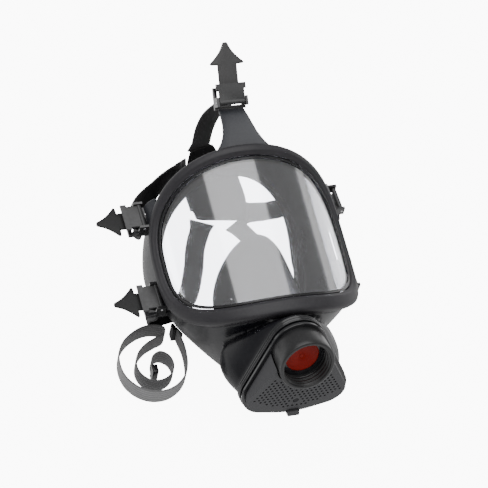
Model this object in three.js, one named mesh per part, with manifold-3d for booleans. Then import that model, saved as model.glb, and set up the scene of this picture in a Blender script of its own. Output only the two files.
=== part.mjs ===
// Full face respirator: a five-point mask with a cylindrical visor, a threaded port and a rubber
// face seal. Lengths are millimetres, angles degrees. The mask is drawn upright in its own frame
// (x to the wearer's left, y towards the face, z up along the visor's straight lines) and then
// laid on its back: the whole mask turns about x, and the origin is put on the table below it.
import * as THREE from 'three';
import { mergeVertices } from 'three/addons/utils/BufferGeometryUtils.js';
import Module from 'manifold-3d';

const wasm = await Module();
wasm.setup();

// ---------------------------------------------------------------- driving dimensions
const GAP = 0.3; // clearance between parts that touch
const FAR = 60; // a length that carries a cut right through
const LIE_BACK = -80; // turn about x that lays the mask on its back, tilted 10 degrees
const TABLE_RISE = 40.84; // height of the mask frame's origin above the table

const VISOR_RADIUS = 95.65; // outer radius of the visor's cylinder
const VISOR_THICKNESS = 2.5;
const VIEW_HALF_WIDTH = 108.9; // half the clear view, measured round the cylinder
const VIEW_WIDEST = 78.96; // height of the widest line above the lowest point of the view
const VIEW_ABOVE = 68.88; // height of the top of the view above the widest line
const LENS_TUCK = 3.4; // how far the visor reaches into the rim all round
const VIEW_EXPONENT_ABOVE = 2.28;
const VIEW_EXPONENT_BELOW = 2.72;

const RIM_WIDTH = 11; // at the top and the sides
const RIM_CHIN_WIDTH = 15; // at the bottom
const RIM_OUTER_RADIUS = 101;
const RIM_BACK_RADIUS = 89.6;

const SEAL_HALF_WIDTH = 82; // rear edge of the face blank
const SEAL_WIDEST = 100;
const SEAL_ABOVE = 81;
const SEAL_BELOW = 132;
const SEAL_EXPONENT_ABOVE = 2.7;
const SEAL_EXPONENT_BELOW = 1.35;
const SEAL_FOREHEAD_LIFT = 90; // how far the forehead edge stands off the table
const SEAL_CHEEK_LIFT = 4.6; // room under the cheeks for the straps
const RUBBER_WALL = 3;

const PORT_CENTRE = new THREE.Vector3(0, -104.81, -68.8); // middle of the port's lip
const PORT_TILT = 150.06; // turn about x from the mask frame to the port frame
const PORT_RADIUS = 25;
const PORT_THREAD_RADIUS = 20.25; // round thread of 40.5 mm across
const HOUSING_FRONT = -24; // stations along the port's axis, 0 at the lip
const HOUSING_BACK = -40;
const PORT_BACK = HOUSING_FRONT + GAP;

const STRAP_HALF_WIDTH = 9.6;
const STRAP_THICKNESS = 2.4;
const NECK_STRAP_WIDTH = 20;
const NECK_STRAP_THICKNESS = 1.6;

const LOOP_STEPS = 44; // stations round the visor, rim and face blank
const ROUND_STEPS = 24; // sides of a round part

// ---------------------------------------------------------------- small helpers
const rad = THREE.MathUtils.degToRad;
const vec = (x, y, z) => new THREE.Vector3(x, y, z);
const loopAngles = (count) => Array.from({ length: count }, (_, i) => (2 * Math.PI * i) / count);

/** A BufferGeometry from points and triangles, turned so that its faces point out. */
function solidGeometry(points, triangles) {
  let volume = 0;
  for (const [a, b, c] of triangles) {
    volume += points[a].dot(points[b].clone().cross(points[c]));
  }
  const index = [];
  for (const [a, b, c] of triangles) {
    index.push(...(volume > 0 ? [a, b, c] : [a, c, b]));
  }
  const geometry = new THREE.BufferGeometry();
  geometry.setFromPoints(points);
  geometry.setIndex(index);
  return geometry;
}

/** Quads between rows of equal length; closed along a row, and from last row to first if asked. */
function skin(rows, wrapRows, triangles) {
  const width = rows[0].length;
  const last = wrapRows ? rows.length : rows.length - 1;
  for (let r = 0; r < last; r += 1) {
    const next = (r + 1) % rows.length;
    for (let i = 0; i < width; i += 1) {
      const j = (i + 1) % width;
      triangles.push([r * width + i, next * width + i, next * width + j]);
      triangles.push([r * width + i, next * width + j, r * width + j]);
    }
  }
}

/** A closed ring whose section at each station is a closed polygon. */
function ringLoft(sections) {
  const triangles = [];
  skin(sections, true, triangles);
  return solidGeometry(sections.flat(), triangles);
}

/** A solid through closed loops, closed at both ends by a fan. */
function tubeLoft(loops) {
  const triangles = [];
  skin(loops, false, triangles);
  const points = loops.flat();
  const width = loops[0].length;
  for (const [start, flip] of [[0, true], [(loops.length - 1) * width, false]]) {
    const loop = points.slice(start, start + width);
    const middle = loop.reduce((sum, p) => sum.add(p), vec(0, 0, 0)).divideScalar(width);
    const centre = points.push(middle) - 1;
    for (let i = 0; i < width; i += 1) {
      const a = start + i;
      const b = start + ((i + 1) % width);
      triangles.push(flip ? [centre, a, b] : [centre, b, a]);
    }
  }
  return solidGeometry(points, triangles);
}

/** A manifold solid from a geometry. */
function solid(geometry, matrix) {
  const copy = geometry.clone();
  copy.deleteAttribute('normal');
  copy.deleteAttribute('uv');
  if (matrix) {
    copy.applyMatrix4(matrix);
  }
  const merged = mergeVertices(copy, 1e-4);
  return new wasm.Manifold(new wasm.Mesh({
    numProp: 3,
    vertProperties: new Float32Array(merged.attributes.position.array),
    triVerts: new Uint32Array(merged.index.array),
  }));
}

/** A geometry from a manifold solid. */
function shape(manifold) {
  const mesh = manifold.getMesh();
  const geometry = new THREE.BufferGeometry();
  geometry.setAttribute('position', new THREE.BufferAttribute(mesh.vertProperties, 3));
  geometry.setIndex(new THREE.BufferAttribute(mesh.triVerts, 1));
  return geometry;
}

/** A solid ring or disc about the z axis, from its half section as [radius, z] pairs. */
function lathe(profile, steps = ROUND_STEPS) {
  const closed = profile[0][0] === 0 ? profile : [...profile, profile[0]];
  const geometry = new THREE.LatheGeometry(closed.map(([r, z]) => new THREE.Vector2(r, z)), steps);
  geometry.rotateX(Math.PI / 2);
  return geometry;
}

/** A flat ring about the z axis. */
function ring(inner, outer, low, high, steps = ROUND_STEPS) {
  return lathe([[inner, low], [outer, low], [outer, high], [inner, high]], steps);
}

/** A round bar along z, from low to high. */
function bar(radius, low, high, x = 0, y = 0, steps = ROUND_STEPS) {
  const geometry = new THREE.CylinderGeometry(radius, radius, high - low, steps);
  geometry.rotateX(Math.PI / 2);
  geometry.translate(x, y, (low + high) / 2);
  return geometry;
}

/** A block from its low and high corners. */
function block(low, high) {
  const geometry = new THREE.BoxGeometry(high[0] - low[0], high[1] - low[1], high[2] - low[2]);
  geometry.translate((low[0] + high[0]) / 2, (low[1] + high[1]) / 2, (low[2] + high[2]) / 2);
  return geometry;
}

/** A flat strip of rubber or webbing through stations of centre, width direction and half width. */
function ribbon(stations, thickness) {
  const loops = stations.map(({ at, across, half }, i) => {
    const before = stations[Math.max(0, i - 1)].at;
    const after = stations[Math.min(stations.length - 1, i + 1)].at;
    const along = after.clone().sub(before).normalize();
    const side = across.clone().addScaledVector(along, -across.dot(along)).normalize();
    const up = side.clone().cross(along);
    const corner = (s, t) => {
      const edge = at.clone().addScaledVector(side, s * half);
      return edge.addScaledVector(up, (t * thickness) / 2);
    };
    return [corner(-1, -1), corner(1, -1), corner(1, 1), corner(-1, 1)];
  });
  return tubeLoft(loops);
}

/** Stations of a ribbon on a smooth curve through control rows [x, y, z, ax, ay, az, half]. */
function stationsThrough(rows, steps) {
  const points = rows.map(([x, y, z]) => vec(x, y, z));
  const curve = new THREE.CatmullRomCurve3(points, false, 'centripetal');
  return Array.from({ length: steps + 1 }, (_, i) => {
    const place = (i / steps) * (rows.length - 1);
    const low = Math.min(Math.floor(place), rows.length - 2);
    const part = place - low;
    const mix = (k) => THREE.MathUtils.lerp(rows[low][k], rows[low + 1][k], part);
    return { at: curve.getPoint(i / steps), across: vec(mix(3), mix(4), mix(5)), half: mix(6) };
  });
}

// The barbed end of a strap, as [distance past the strap's end, half width].
const ARROW_OUTLINE = [[0.4, 16.5], [6, 12.5], [12, 7], [18, 3.2], [21, 1.6]];

/** The barbed arrow end of a strap, running on from a station along a direction. */
function arrowEnd(from, along, across) {
  return ARROW_OUTLINE.map(([distance, half]) => {
    const at = from.clone().addScaledVector(along, distance);
    return { at, across, half };
  });
}

// ---------------------------------------------------------------- materials
const finish = (color, roughness, metalness = 0) => ({ color, roughness, metalness });
const RUBBER = finish(0x2b2b2e, 0.62);
const SILICONE = finish(0x3a3a3d, 0.55);
const PLASTIC = finish(0x1c1c1e, 0.35);
const COVER = finish(0x3a3a3e, 0.5);
const POLYCARBONATE = finish(0xb9bcc6, 0.05);
const RED = finish(0xb02a16, 0.45);
const STEEL = finish(0x8d8f92, 0.3, 1);
const WEBBING = finish(0x77787a, 0.85);

/** A named mesh in a group. */
function add(group, name, geometry, look) {
  const material = new THREE.MeshStandardMaterial(look);
  if (name === 'visor_lens') {
    material.transparent = true;
    material.opacity = 0.35;
  }
  const mesh = new THREE.Mesh(geometry, material);
  mesh.name = name;
  group.add(mesh);
  return mesh;
}

const table = new THREE.Group(); // parts placed straight in the table's frame
const mask = new THREE.Group(); // parts placed in the mask's frame
mask.rotation.x = rad(LIE_BACK);
mask.position.z = TABLE_RISE;
const port = new THREE.Group(); // parts placed about the port's axis
port.rotation.x = rad(PORT_TILT);
port.position.copy(PORT_CENTRE);
mask.add(port);
port.updateMatrix();
mask.updateMatrixWorld(true);

// ---------------------------------------------------------------- outlines
/** A point on a superellipse whose upper and lower halves have their own height and exponent. */
function superellipse(angle, halfWidth, above, below, exponentAbove, exponentBelow) {
  const c = Math.cos(angle);
  const s = Math.sin(angle);
  const exponent = s >= 0 ? exponentAbove : exponentBelow;
  const size = (Math.abs(c) ** exponent + Math.abs(s) ** exponent) ** (1 / exponent);
  return [(halfWidth * c) / size, ((s >= 0 ? above : below) * s) / size];
}

/** A point at some distance outside the edge of the view, on a cylinder of some radius. */
function viewPoint(angle, grow, radius) {
  const [round, height] = superellipse(
    angle,
    VIEW_HALF_WIDTH + grow,
    VIEW_ABOVE + grow,
    VIEW_WIDEST + grow,
    VIEW_EXPONENT_ABOVE,
    VIEW_EXPONENT_BELOW,
  );
  const turn = round / VISOR_RADIUS;
  return vec(radius * Math.sin(turn), -radius * Math.cos(turn), VIEW_WIDEST + height);
}

/** Width of the rim at an angle round the view. */
function rimWidth(angle) {
  return RIM_WIDTH + (RIM_CHIN_WIDTH - RIM_WIDTH) * Math.max(0, -Math.sin(angle)) ** 3;
}

/** A point on the rear edge of the face blank, whose distance from the table is set. */
function sealPoint(angle) {
  const s = Math.sin(angle);
  const [x, height] = superellipse(
    angle,
    SEAL_HALF_WIDTH,
    SEAL_ABOVE,
    SEAL_BELOW,
    SEAL_EXPONENT_ABOVE,
    SEAL_EXPONENT_BELOW,
  );
  const z = SEAL_WIDEST + height;
  const cheek = SEAL_CHEEK_LIFT * Math.sin(Math.PI * Math.min(1, Math.max(0, -s))) ** 0.6;
  const lift = s > 0 ? SEAL_FOREHEAD_LIFT * s ** 1.7 : cheek;
  const tilt = rad(90 + LIE_BACK);
  return vec(x, (TABLE_RISE + z * Math.sin(tilt) - lift) / Math.cos(tilt), z);
}

/** Outer skin of the face blank: stations from behind the rim (0) to the rear edge (1). */
function blankPoint(angle, station, outset = 0) {
  const front = viewPoint(angle, rimWidth(angle) - 1.5 + outset, RIM_BACK_RADIUS - GAP);
  const rear = sealPoint(angle);
  const middle = vec(0, 0, 82);
  const away = rear.clone().sub(middle).setY(0).normalize();
  rear.addScaledVector(away, outset);
  const bulge = 5 * Math.sin(Math.PI * station);
  return front.lerp(rear, station).addScaledVector(away, bulge);
}

const ANGLES = loopAngles(LOOP_STEPS);
const BLANK_STATIONS = [0, 0.22, 0.48, 0.75, 1];

/** Outline of the connector housing, a triangle with round corners and a bowed base. */
function housingOutline(grow, station, count = 36) {
  const corners = [[0, 2, 26], [29, -44, 20], [-29, -44, 20]];
  const base = [0, 32, 100];
  return loopAngles(count).map((angle) => {
    const c = Math.cos(angle);
    const s = Math.sin(angle);
    const arcs = s < -0.8 ? [...corners, base] : corners;
    const reach = arcs.map(([x, y, r]) => x * c + y * s + r);
    const [x, y, r] = arcs[reach.indexOf(Math.max(...reach))];
    return vec(x + (r + grow) * c, y + (r + grow) * s, station);
  });
}

const portLoop = (points) => points.map((p) => p.clone().applyMatrix4(port.matrix));

// ---------------------------------------------------------------- visor and rim
const LENS_RINGS = [0.3, 0.55, 0.78, 0.955, 1]; // rings of the visor's faces, 1 at its edge

function makeVisor() {
  const outer = LENS_RINGS.map((part) => ANGLES.map((a) => {
    const edge = viewPoint(a, LENS_TUCK, 1);
    const turn = Math.atan2(edge.x, -edge.y) * part;
    const height = VIEW_WIDEST + (edge.z - VIEW_WIDEST) * part;
    return [turn, height];
  }));
  const at = (radius) => ([turn, height]) => (
    vec(radius * Math.sin(turn), -radius * Math.cos(turn), height)
  );
  const front = outer.map((loop) => loop.map(at(VISOR_RADIUS)));
  const back = outer.map((loop) => loop.map(at(VISOR_RADIUS - VISOR_THICKNESS)));
  const loops = [...front, ...back.reverse()];
  return tubeLoft(loops);
}

/** A ring that follows the view's edge; its section is [distance out from the edge, radius]. */
function viewRing(section) {
  const corners = (a) => section(a).map(([grow, radius]) => viewPoint(a, grow, radius));
  return ringLoft(ANGLES.map(corners));
}

const LENS_SEAT_FRONT = VISOR_RADIUS + GAP;
const LENS_SEAT_BACK = VISOR_RADIUS - VISOR_THICKNESS - GAP;

/** Section of the moulded rim, with the groove that holds the visor. */
function rimSection(angle) {
  const out = rimWidth(angle);
  return [
    [-1, LENS_SEAT_FRONT],
    [-0.5, 98.6],
    [2.6, RIM_OUTER_RADIUS + 0.3],
    [out - 3, RIM_OUTER_RADIUS],
    [out, 98.2],
    [out, 92],
    [out - 2.5, RIM_BACK_RADIUS],
    [0.5, RIM_BACK_RADIUS],
    [-1, 90.8],
    [-1, LENS_SEAT_BACK],
    [LENS_TUCK + 0.4, LENS_SEAT_BACK],
    [LENS_TUCK + 0.4, LENS_SEAT_FRONT],
  ];
}

/** Section of the thin bead that seals the visor just inside the rim. */
const beadSection = () => [
  [-3.8, LENS_SEAT_FRONT],
  [-3.5, 97],
  [-2.5, 97.6],
  [-1.6, 97],
  [-1.3, LENS_SEAT_FRONT],
];

add(mask, 'visor_lens', makeVisor(), POLYCARBONATE);
add(mask, 'visor_rim', viewRing(rimSection), RUBBER);
add(mask, 'lens_bead', viewRing(beadSection), PLASTIC);

// ---------------------------------------------------------------- shape of the nose cup
const CUP_ANGLES = loopAngles(28);

/** Rear edge of the nose cup, which reaches up over the nose and down under the mouth. */
function cupRear(a) {
  const s = Math.sin(a);
  const y = s > 0 ? -14 - 46 * s * s : -14 - 20 * s;
  return vec(42 * Math.cos(a), y, 34 + (s > 0 ? 50 : 30) * s);
}

/** Front edge of the nose cup, a circle behind the housing. */
function cupFront(a) {
  const round = vec(24 * Math.cos(a), -24 + 24 * Math.sin(a), HOUSING_BACK - 1.5);
  return round.applyMatrix4(port.matrix);
}

/** A point of the nose cup's wall, from its front (0) to its rear edge (1). */
function cupPoint(a, part, inset) {
  const point = cupFront(a).lerp(cupRear(a), part);
  const middle = cupFront(0).add(cupFront(Math.PI)).multiplyScalar(0.5);
  middle.lerp(vec(0, -30, 34), part);
  const forward = Math.max(0, Math.sin(a)) * 4 * Math.sin(Math.PI * part);
  point.y -= forward;
  const away = point.clone().sub(middle);
  return point.addScaledVector(away.normalize(), 3 * Math.sin(Math.PI * part) - inset);
}

/** Room for the nose cup where it passes through the chin of the face blank. */
function cupClearance() {
  const stations = [-0.05, 0.25, 0.5, 0.78, 1];
  return solid(tubeLoft(stations.map((part) => CUP_ANGLES.map((a) => cupPoint(a, part, -1)))));
}

// ---------------------------------------------------------------- face blank and seal
/** The loop where the chin neck joins the face blank, matched to the housing outline's angles. */
function neckRoot(grow, rise, count = 36) {
  return loopAngles(count).map((a) => vec(
    (54 + grow) * Math.cos(a),
    -34 - (45 + grow) * Math.sin(a),
    -21 + 7 * Math.sin(a) + rise,
  ));
}

/** Loops of the chin neck between the housing and its root. */
function neckLoops(grow, housingGrow, front) {
  const start = portLoop(housingOutline(housingGrow, front));
  const shoulder = portLoop(housingOutline(housingGrow, HOUSING_BACK - 0.5));
  const root = neckRoot(grow, 0);
  const between = [0.35, 0.7].map((part) => shoulder.map((p, i) => {
    const point = p.clone().lerp(root[i], part);
    const bulge = 3.5 * Math.sin(Math.PI * part);
    return point.add(vec(bulge * Math.cos((2 * Math.PI * i) / root.length), 0, 0));
  }));
  return [start, shoulder, ...between, root, neckRoot(grow - 6, 9)];
}

/** Inner skin of the face blank, one wall inside the outer skin. */
const innerPoint = (a, station) => blankPoint(a, station, -RUBBER_WALL);

/** Pushes a loop along y, to carry a cut past an open end. */
const shifted = (loop, distance) => loop.map((p) => p.clone().add(vec(0, distance, 0)));

/** The moulded rubber face blank: a tapering skirt with a chin neck for the housing. */
function makeFaceBlank() {
  const outer = tubeLoft(BLANK_STATIONS.map((k) => ANGLES.map((a) => blankPoint(a, k))));
  const innerLoops = BLANK_STATIONS.map((k) => ANGLES.map((a) => innerPoint(a, k)));
  const inner = tubeLoft([
    shifted(innerLoops[0], -25),
    ...innerLoops,
    shifted(innerLoops[innerLoops.length - 1], 12),
  ]);
  const neck = solid(tubeLoft(neckLoops(0, -1.5, -27)));
  const neckHollow = solid(tubeLoft(neckLoops(-3.2, -4.7, -20)));
  const walls = solid(outer).add(neck).subtract(solid(inner)).subtract(neckHollow);
  return shape(walls.subtract(cupClearance()));
}

/** Everything that the face blank and rim fill, with a clearance, for trimming what is moulded on. */
const envelope = solid(tubeLoft([
  ANGLES.map((a) => viewPoint(a, rimWidth(a) + GAP, RIM_OUTER_RADIUS + 1)),
  ANGLES.map((a) => viewPoint(a, rimWidth(a) + GAP, RIM_BACK_RADIUS)),
  ...BLANK_STATIONS.slice(1).map((k) => ANGLES.map((a) => blankPoint(a, k, 0.6))),
]));

/** The lip that turns in from the rear edge and lies on the face. */
function makeFaceSeal() {
  const reach = (a) => (Math.sin(a) > 0 ? 15 : 15 - 5 * Math.abs(Math.sin(a)));
  return ringLoft(ANGLES.map((a) => {
    const root = blankPoint(a, 0.93, -RUBBER_WALL - 0.7);
    const inward = vec(0, 0, 78).sub(root).setY(0).normalize();
    const tip = root.clone().addScaledVector(inward, reach(a)).add(vec(0, -9, 0));
    const bend = root.clone().addScaledVector(inward, reach(a) * 0.55).add(vec(0, 1.5, 0));
    const under = [tip, bend].map((p) => p.clone().add(vec(0, -1.8, 0)));
    return [root, bend, tip, ...under, root.clone().add(vec(0, -2.6, 0))];
  }));
}

add(mask, 'face_blank', makeFaceBlank(), RUBBER);
add(mask, 'face_seal_lip', makeFaceSeal(), RUBBER);

// ---------------------------------------------------------------- check valves in the nose cup
const CHECK_VALVE_RADIUS = 8;
const CHECK_VALVE_BORE = 5.6;
const CHECK_VALVE_DEPTH = 2.4; // half the height of its seat
const CHECK_VALVE_STEPS = 16;

/** Matrix of a check valve: z points out of the cup, origin in the middle of its wall. */
function checkValveFrame(side) {
  const a = side > 0 ? rad(24) : rad(156);
  const place = cupPoint(a, 0.66, 1);
  const away = vec(side, -0.35, 0.2).normalize();
  const turn = new THREE.Quaternion().setFromUnitVectors(vec(0, 0, 1), away);
  return new THREE.Matrix4().compose(place, turn, vec(1, 1, 1));
}

/** The nose cup with a hole for each check valve. */
function makeNoseCup() {
  const parts = [0, 0.25, 0.5, 0.78, 1];
  const cup = ringLoft(CUP_ANGLES.map((a) => [
    ...parts.map((part) => cupPoint(a, part, 0)),
    ...[...parts].reverse().map((part) => cupPoint(a, part, 2)),
  ]));
  let body = solid(cup);
  for (const side of [-1, 1]) {
    const hole = bar(CHECK_VALVE_RADIUS + GAP, -9, 9, 0, 0, CHECK_VALVE_STEPS);
    body = body.subtract(solid(hole, checkValveFrame(side)));
  }
  return shape(body);
}

add(mask, 'nose_cup', makeNoseCup(), SILICONE);

for (const [side, word] of [[-1, 'right'], [1, 'left']]) {
  const frame = checkValveFrame(side);
  const seat = ring(
    CHECK_VALVE_BORE,
    CHECK_VALVE_RADIUS,
    -CHECK_VALVE_DEPTH,
    CHECK_VALVE_DEPTH,
    CHECK_VALVE_STEPS,
  );
  const disc = bar(CHECK_VALVE_BORE - 0.4, -0.6, 0.4, 0, 0, CHECK_VALVE_STEPS);
  add(mask, `check_valve_seat_${word}`, seat.applyMatrix4(frame), PLASTIC);
  add(mask, `check_valve_disc_${word}`, disc.applyMatrix4(frame), SILICONE);
}

// ---------------------------------------------------------------- connector housing and port
const EXHALE_PLACE = [-21, -43];
const SPEECH_PLACE = [21, -43];
const CHAMBER_RADIUS = 14.8;
const VALVE_FLOOR = -35; // station of the exhalation valve's seat and the speech diaphragm
const SCREW_PLACE = [0, -52];
const SCREW_RADIUS = 2.2;
const SCREW_STEPS = 12;
const PORT_BORE = 18.6; // bore behind the threads
const THREAD_TURNS = 3;
const THREAD_PITCH = 4;
const THREAD_DEPTH = 1.3;

/** The housing: a body with a flange in front, bored for the port and two round chambers. */
function makeHousing() {
  const bodyFront = HOUSING_FRONT - 0.5;
  const body = tubeLoft([housingOutline(-5, HOUSING_BACK), housingOutline(-5, bodyFront)]);
  const flange = tubeLoft([housingOutline(0, HOUSING_FRONT - 2.4), housingOutline(0, HOUSING_FRONT)]);
  let housing = solid(body).add(solid(flange));
  housing = housing.subtract(solid(bar(PORT_BORE, -FAR, -20)));
  for (const [x, y] of [EXHALE_PLACE, SPEECH_PLACE]) {
    housing = housing.subtract(solid(bar(CHAMBER_RADIUS, VALVE_FLOOR - GAP, -20, x, y)));
    housing = housing.subtract(solid(bar(CHAMBER_RADIUS - 3, -FAR, -30, x, y)));
  }
  const screwHole = bar(SCREW_RADIUS + GAP, -31, -20, ...SCREW_PLACE, SCREW_STEPS);
  return shape(housing.subtract(solid(screwHole)));
}

/** Half section of the port tube, with the crests of its round thread inside. */
function portProfile() {
  const crests = [];
  const root = PORT_THREAD_RADIUS + THREAD_DEPTH;
  for (let turn = 0; turn < THREAD_TURNS; turn += 1) {
    const top = -1.6 - THREAD_PITCH * turn;
    crests.push([root, top], [PORT_THREAD_RADIUS, top - 1.4]);
    crests.push([PORT_THREAD_RADIUS, top - 2.4], [root, top - 3.8]);
  }
  return [
    [root, 0],
    ...crests,
    [PORT_THREAD_RADIUS + 0.5, -14.2],
    [PORT_THREAD_RADIUS + 0.5, -15.9],
    [PORT_BORE, -15.9],
    [PORT_BORE, PORT_BACK],
    [PORT_RADIUS, PORT_BACK],
    [PORT_RADIUS, -0.8],
    [PORT_RADIUS - 0.8, 0],
  ];
}

/** A flat wheel: a rim, a hub and spokes, cut through from a disc. */
function spider(outer, rimInner, hub, low, high, spokes) {
  const outline = new THREE.Shape().absarc(0, 0, outer, 0, 2 * Math.PI);
  for (let i = 0; i < spokes; i += 1) {
    const start = (2 * Math.PI * (i + 0.1)) / spokes;
    const end = (2 * Math.PI * (i + 0.9)) / spokes;
    const window = new THREE.Path();
    window.absarc(0, 0, rimInner, start, end, false);
    window.absarc(0, 0, hub, end, start, true);
    window.closePath();
    outline.holes.push(window);
  }
  const options = { depth: high - low, bevelEnabled: false, curveSegments: 5 };
  const geometry = new THREE.ExtrudeGeometry(outline, options);
  geometry.translate(0, 0, low);
  return geometry;
}

const GRILLE_SLOPE = rad(16.5);
const GRILLE_TOP = -7; // station of the grille's face beside the port

/** Everything in front of the grille's sloping face, less a wall if asked. */
function aheadOfGrille(wall) {
  const slab = block([-90, -120, 0], [90, 120, 120]);
  slab.rotateX(GRILLE_SLOPE);
  slab.translate(0, -10, GRILLE_TOP - wall);
  return solid(slab);
}

/** True where the perforated field of the grille has room for a hole. */
function inField(x, y) {
  const clearOfPort = Math.hypot(x, y) > PORT_RADIUS + 5.5;
  const clearOfScrew = Math.hypot(x - SCREW_PLACE[0], y - SCREW_PLACE[1]) > 7;
  const clearOfEdge = Math.abs(x) < 38 + (y + 12) * 0.12 && y > -60 + (x / 36) ** 4 * 6;
  return clearOfPort && clearOfScrew && clearOfEdge && y < -12;
}

const GRILLE_PITCH = 9;
const GRILLE_HOLE_RADIUS = 2;
const GRILLE_FIRST_ROW = -22;
const GRILLE_ROWS = 6;
const GRILLE_COLUMNS = 5; // on each side of the middle

/** The perforated cover over the exhale and speech chambers, cut out round the port. */
function makeGrille() {
  const top = GRILLE_TOP + 4;
  const shell = tubeLoft([housingOutline(-3, HOUSING_FRONT + GAP), housingOutline(-5.5, top)]);
  const hollow = tubeLoft([housingOutline(-6, HOUSING_FRONT - 4), housingOutline(-8.5, top)]);
  let cover = solid(shell).subtract(aheadOfGrille(0));
  cover = cover.subtract(solid(hollow).subtract(aheadOfGrille(2.4)));
  cover = cover.subtract(solid(block([-70, 6, -60], [70, 60, 30])));
  cover = cover.subtract(solid(bar(PORT_RADIUS + 1.2, -FAR, 20)));
  cover = cover.subtract(solid(bar(SCREW_RADIUS + GAP, -FAR, 20, ...SCREW_PLACE, SCREW_STEPS)));
  for (let row = 0; row < GRILLE_ROWS; row += 1) {
    const y = GRILLE_FIRST_ROW - row * GRILLE_PITCH * Math.sin(rad(60));
    for (let column = -GRILLE_COLUMNS; column <= GRILLE_COLUMNS; column += 1) {
      const x = (column + (row % 2) / 2) * GRILLE_PITCH;
      if (inField(x, y)) {
        cover = cover.subtract(solid(bar(GRILLE_HOLE_RADIUS, -30, 10, x, y, 6)));
      }
    }
  }
  return shape(cover);
}

/** The band that clamps the rubber neck on the housing, with two ridges. */
function makeClampBand() {
  const section = [
    [-1.2, -35.5],
    [0.6, -35.5],
    [0.6, -34],
    [-0.2, -33.4],
    [0.6, -32.6],
    [0.6, -31],
    [-1.2, -31],
  ];
  return ringLoft(section.map(([grow, station]) => housingOutline(grow, station)));
}

const atPlace = (geometry, [x, y]) => geometry.translate(x, y, 0);
const DISC_RADIUS = 12.6; // exhalation disc
const chamberRim = CHAMBER_RADIUS - GAP;

add(port, 'connector_housing', makeHousing(), PLASTIC);
add(port, 'clamp_band', makeClampBand(), PLASTIC);
add(port, 'port_tube', lathe(portProfile()), PLASTIC);
add(port, 'inhalation_valve_seat', ring(15.6, 20.3, -15.6, -14.5), PLASTIC);
add(port, 'inhalation_disc', bar(17.2, -17, -15.9), RED);
add(port, 'inhalation_valve_spider', spider(18.3, 15.8, 3, -24, -22, 4), PLASTIC);
const exhaleSeat = spider(chamberRim, 10.4, 2.6, VALVE_FLOOR, VALVE_FLOOR + 1.6, 4);
const exhaleDisc = bar(DISC_RADIUS, VALVE_FLOOR + 1.9, VALVE_FLOOR + 3);
const diaphragm = bar(chamberRim - 0.2, VALVE_FLOOR, VALVE_FLOOR + 0.6);
const speechRing = ring(11.2, chamberRim, VALVE_FLOOR + 0.9, VALVE_FLOOR + 5);
add(port, 'exhalation_valve_seat', atPlace(exhaleSeat, EXHALE_PLACE), PLASTIC);
add(port, 'exhalation_disc', atPlace(exhaleDisc, EXHALE_PLACE), SILICONE);
add(port, 'speech_diaphragm', atPlace(diaphragm, SPEECH_PLACE), STEEL);
add(port, 'diaphragm_ring', atPlace(speechRing, SPEECH_PLACE), PLASTIC);
add(port, 'grille_cover', makeGrille(), COVER);
add(port, 'cover_screw', bar(SCREW_RADIUS, -30, -19.5, ...SCREW_PLACE, SCREW_STEPS), STEEL);
const latchHook = solid(block([-5.5, -71, -27], [5.5, -68.3, -21]));
const latchToe = solid(block([-5.5, -69, -23.7], [5.5, -65.3, -21]));
add(port, 'cover_latch', shape(latchHook.add(latchToe)), PLASTIC);

// ---------------------------------------------------------------- buckles
// A buckle's own frame: x along its pin, y the way the strap's tail leaves, z away from the mask.
const BUCKLE = {
  halfWidth: 15.2,
  halfLength: 10.5,
  thickness: 4,
  bar: 3.5, // width of the frame's bars
  ear: 2.6, // thickness of each upright that holds the pin
  pinHeight: 8.6,
  pinPlace: -4,
  pinRadius: 1.2,
};

/** A round bar along the buckle's pin. */
function alongPin(radius, length, steps = 10) {
  const geometry = new THREE.CylinderGeometry(radius, radius, length, steps);
  geometry.rotateZ(Math.PI / 2);
  return geometry.translate(0, BUCKLE.pinPlace, BUCKLE.pinHeight);
}

/** The buckle's frame: a window with two uprights for the pin. */
function makeBuckleFrame() {
  const { halfWidth, halfLength, thickness, ear, pinHeight, pinPlace } = BUCKLE;
  const innerWidth = halfWidth - BUCKLE.bar;
  const innerLength = halfLength - BUCKLE.bar;
  const plate = block([-halfWidth, -halfLength, -thickness / 2], [halfWidth, halfLength, thickness / 2]);
  const window = block([-innerWidth, -innerLength, -thickness], [innerWidth, innerLength, thickness]);
  let body = solid(plate).subtract(solid(window));
  for (const low of [-halfWidth, halfWidth - ear]) {
    const upright = block([low, pinPlace - 4, 0], [low + ear, pinPlace + 5, pinHeight + 3]);
    body = body.add(solid(upright));
  }
  return shape(body.subtract(solid(alongPin(BUCKLE.pinRadius + GAP, 2 * FAR))));
}

/** The lever: a plate with a round knuckle on the pin and two small thumb wings. */
function makeBuckleLever() {
  const { halfWidth, ear, pinHeight, pinPlace } = BUCKLE;
  const half = halfWidth - ear - 0.5;
  const wing = half + 2.4;
  const low = pinHeight - 0.4;
  const high = pinHeight + 1.6;
  const plate = solid(block([-half, pinPlace, low], [half, 12, high]));
  const wings = solid(block([-wing, 8, low], [wing, 13.5, high]));
  const knuckle = solid(alongPin(2.5, 2 * half, 12));
  const lever = plate.add(wings).add(knuckle);
  return shape(lever.subtract(solid(alongPin(BUCKLE.pinRadius + GAP, 2 * FAR))));
}

/** The steel pin that the lever turns on. */
const makeBucklePin = () => alongPin(BUCKLE.pinRadius, 2 * BUCKLE.halfWidth + 0.6);

/** Places a buckle in the table's frame from its middle, pin direction and tail direction. */
function buckleFrame({ at, pin, tail }) {
  const out = pin.clone().cross(tail).normalize();
  const matrix = new THREE.Matrix4().makeBasis(pin, out.clone().cross(pin), out);
  return matrix.setPosition(at);
}

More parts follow.
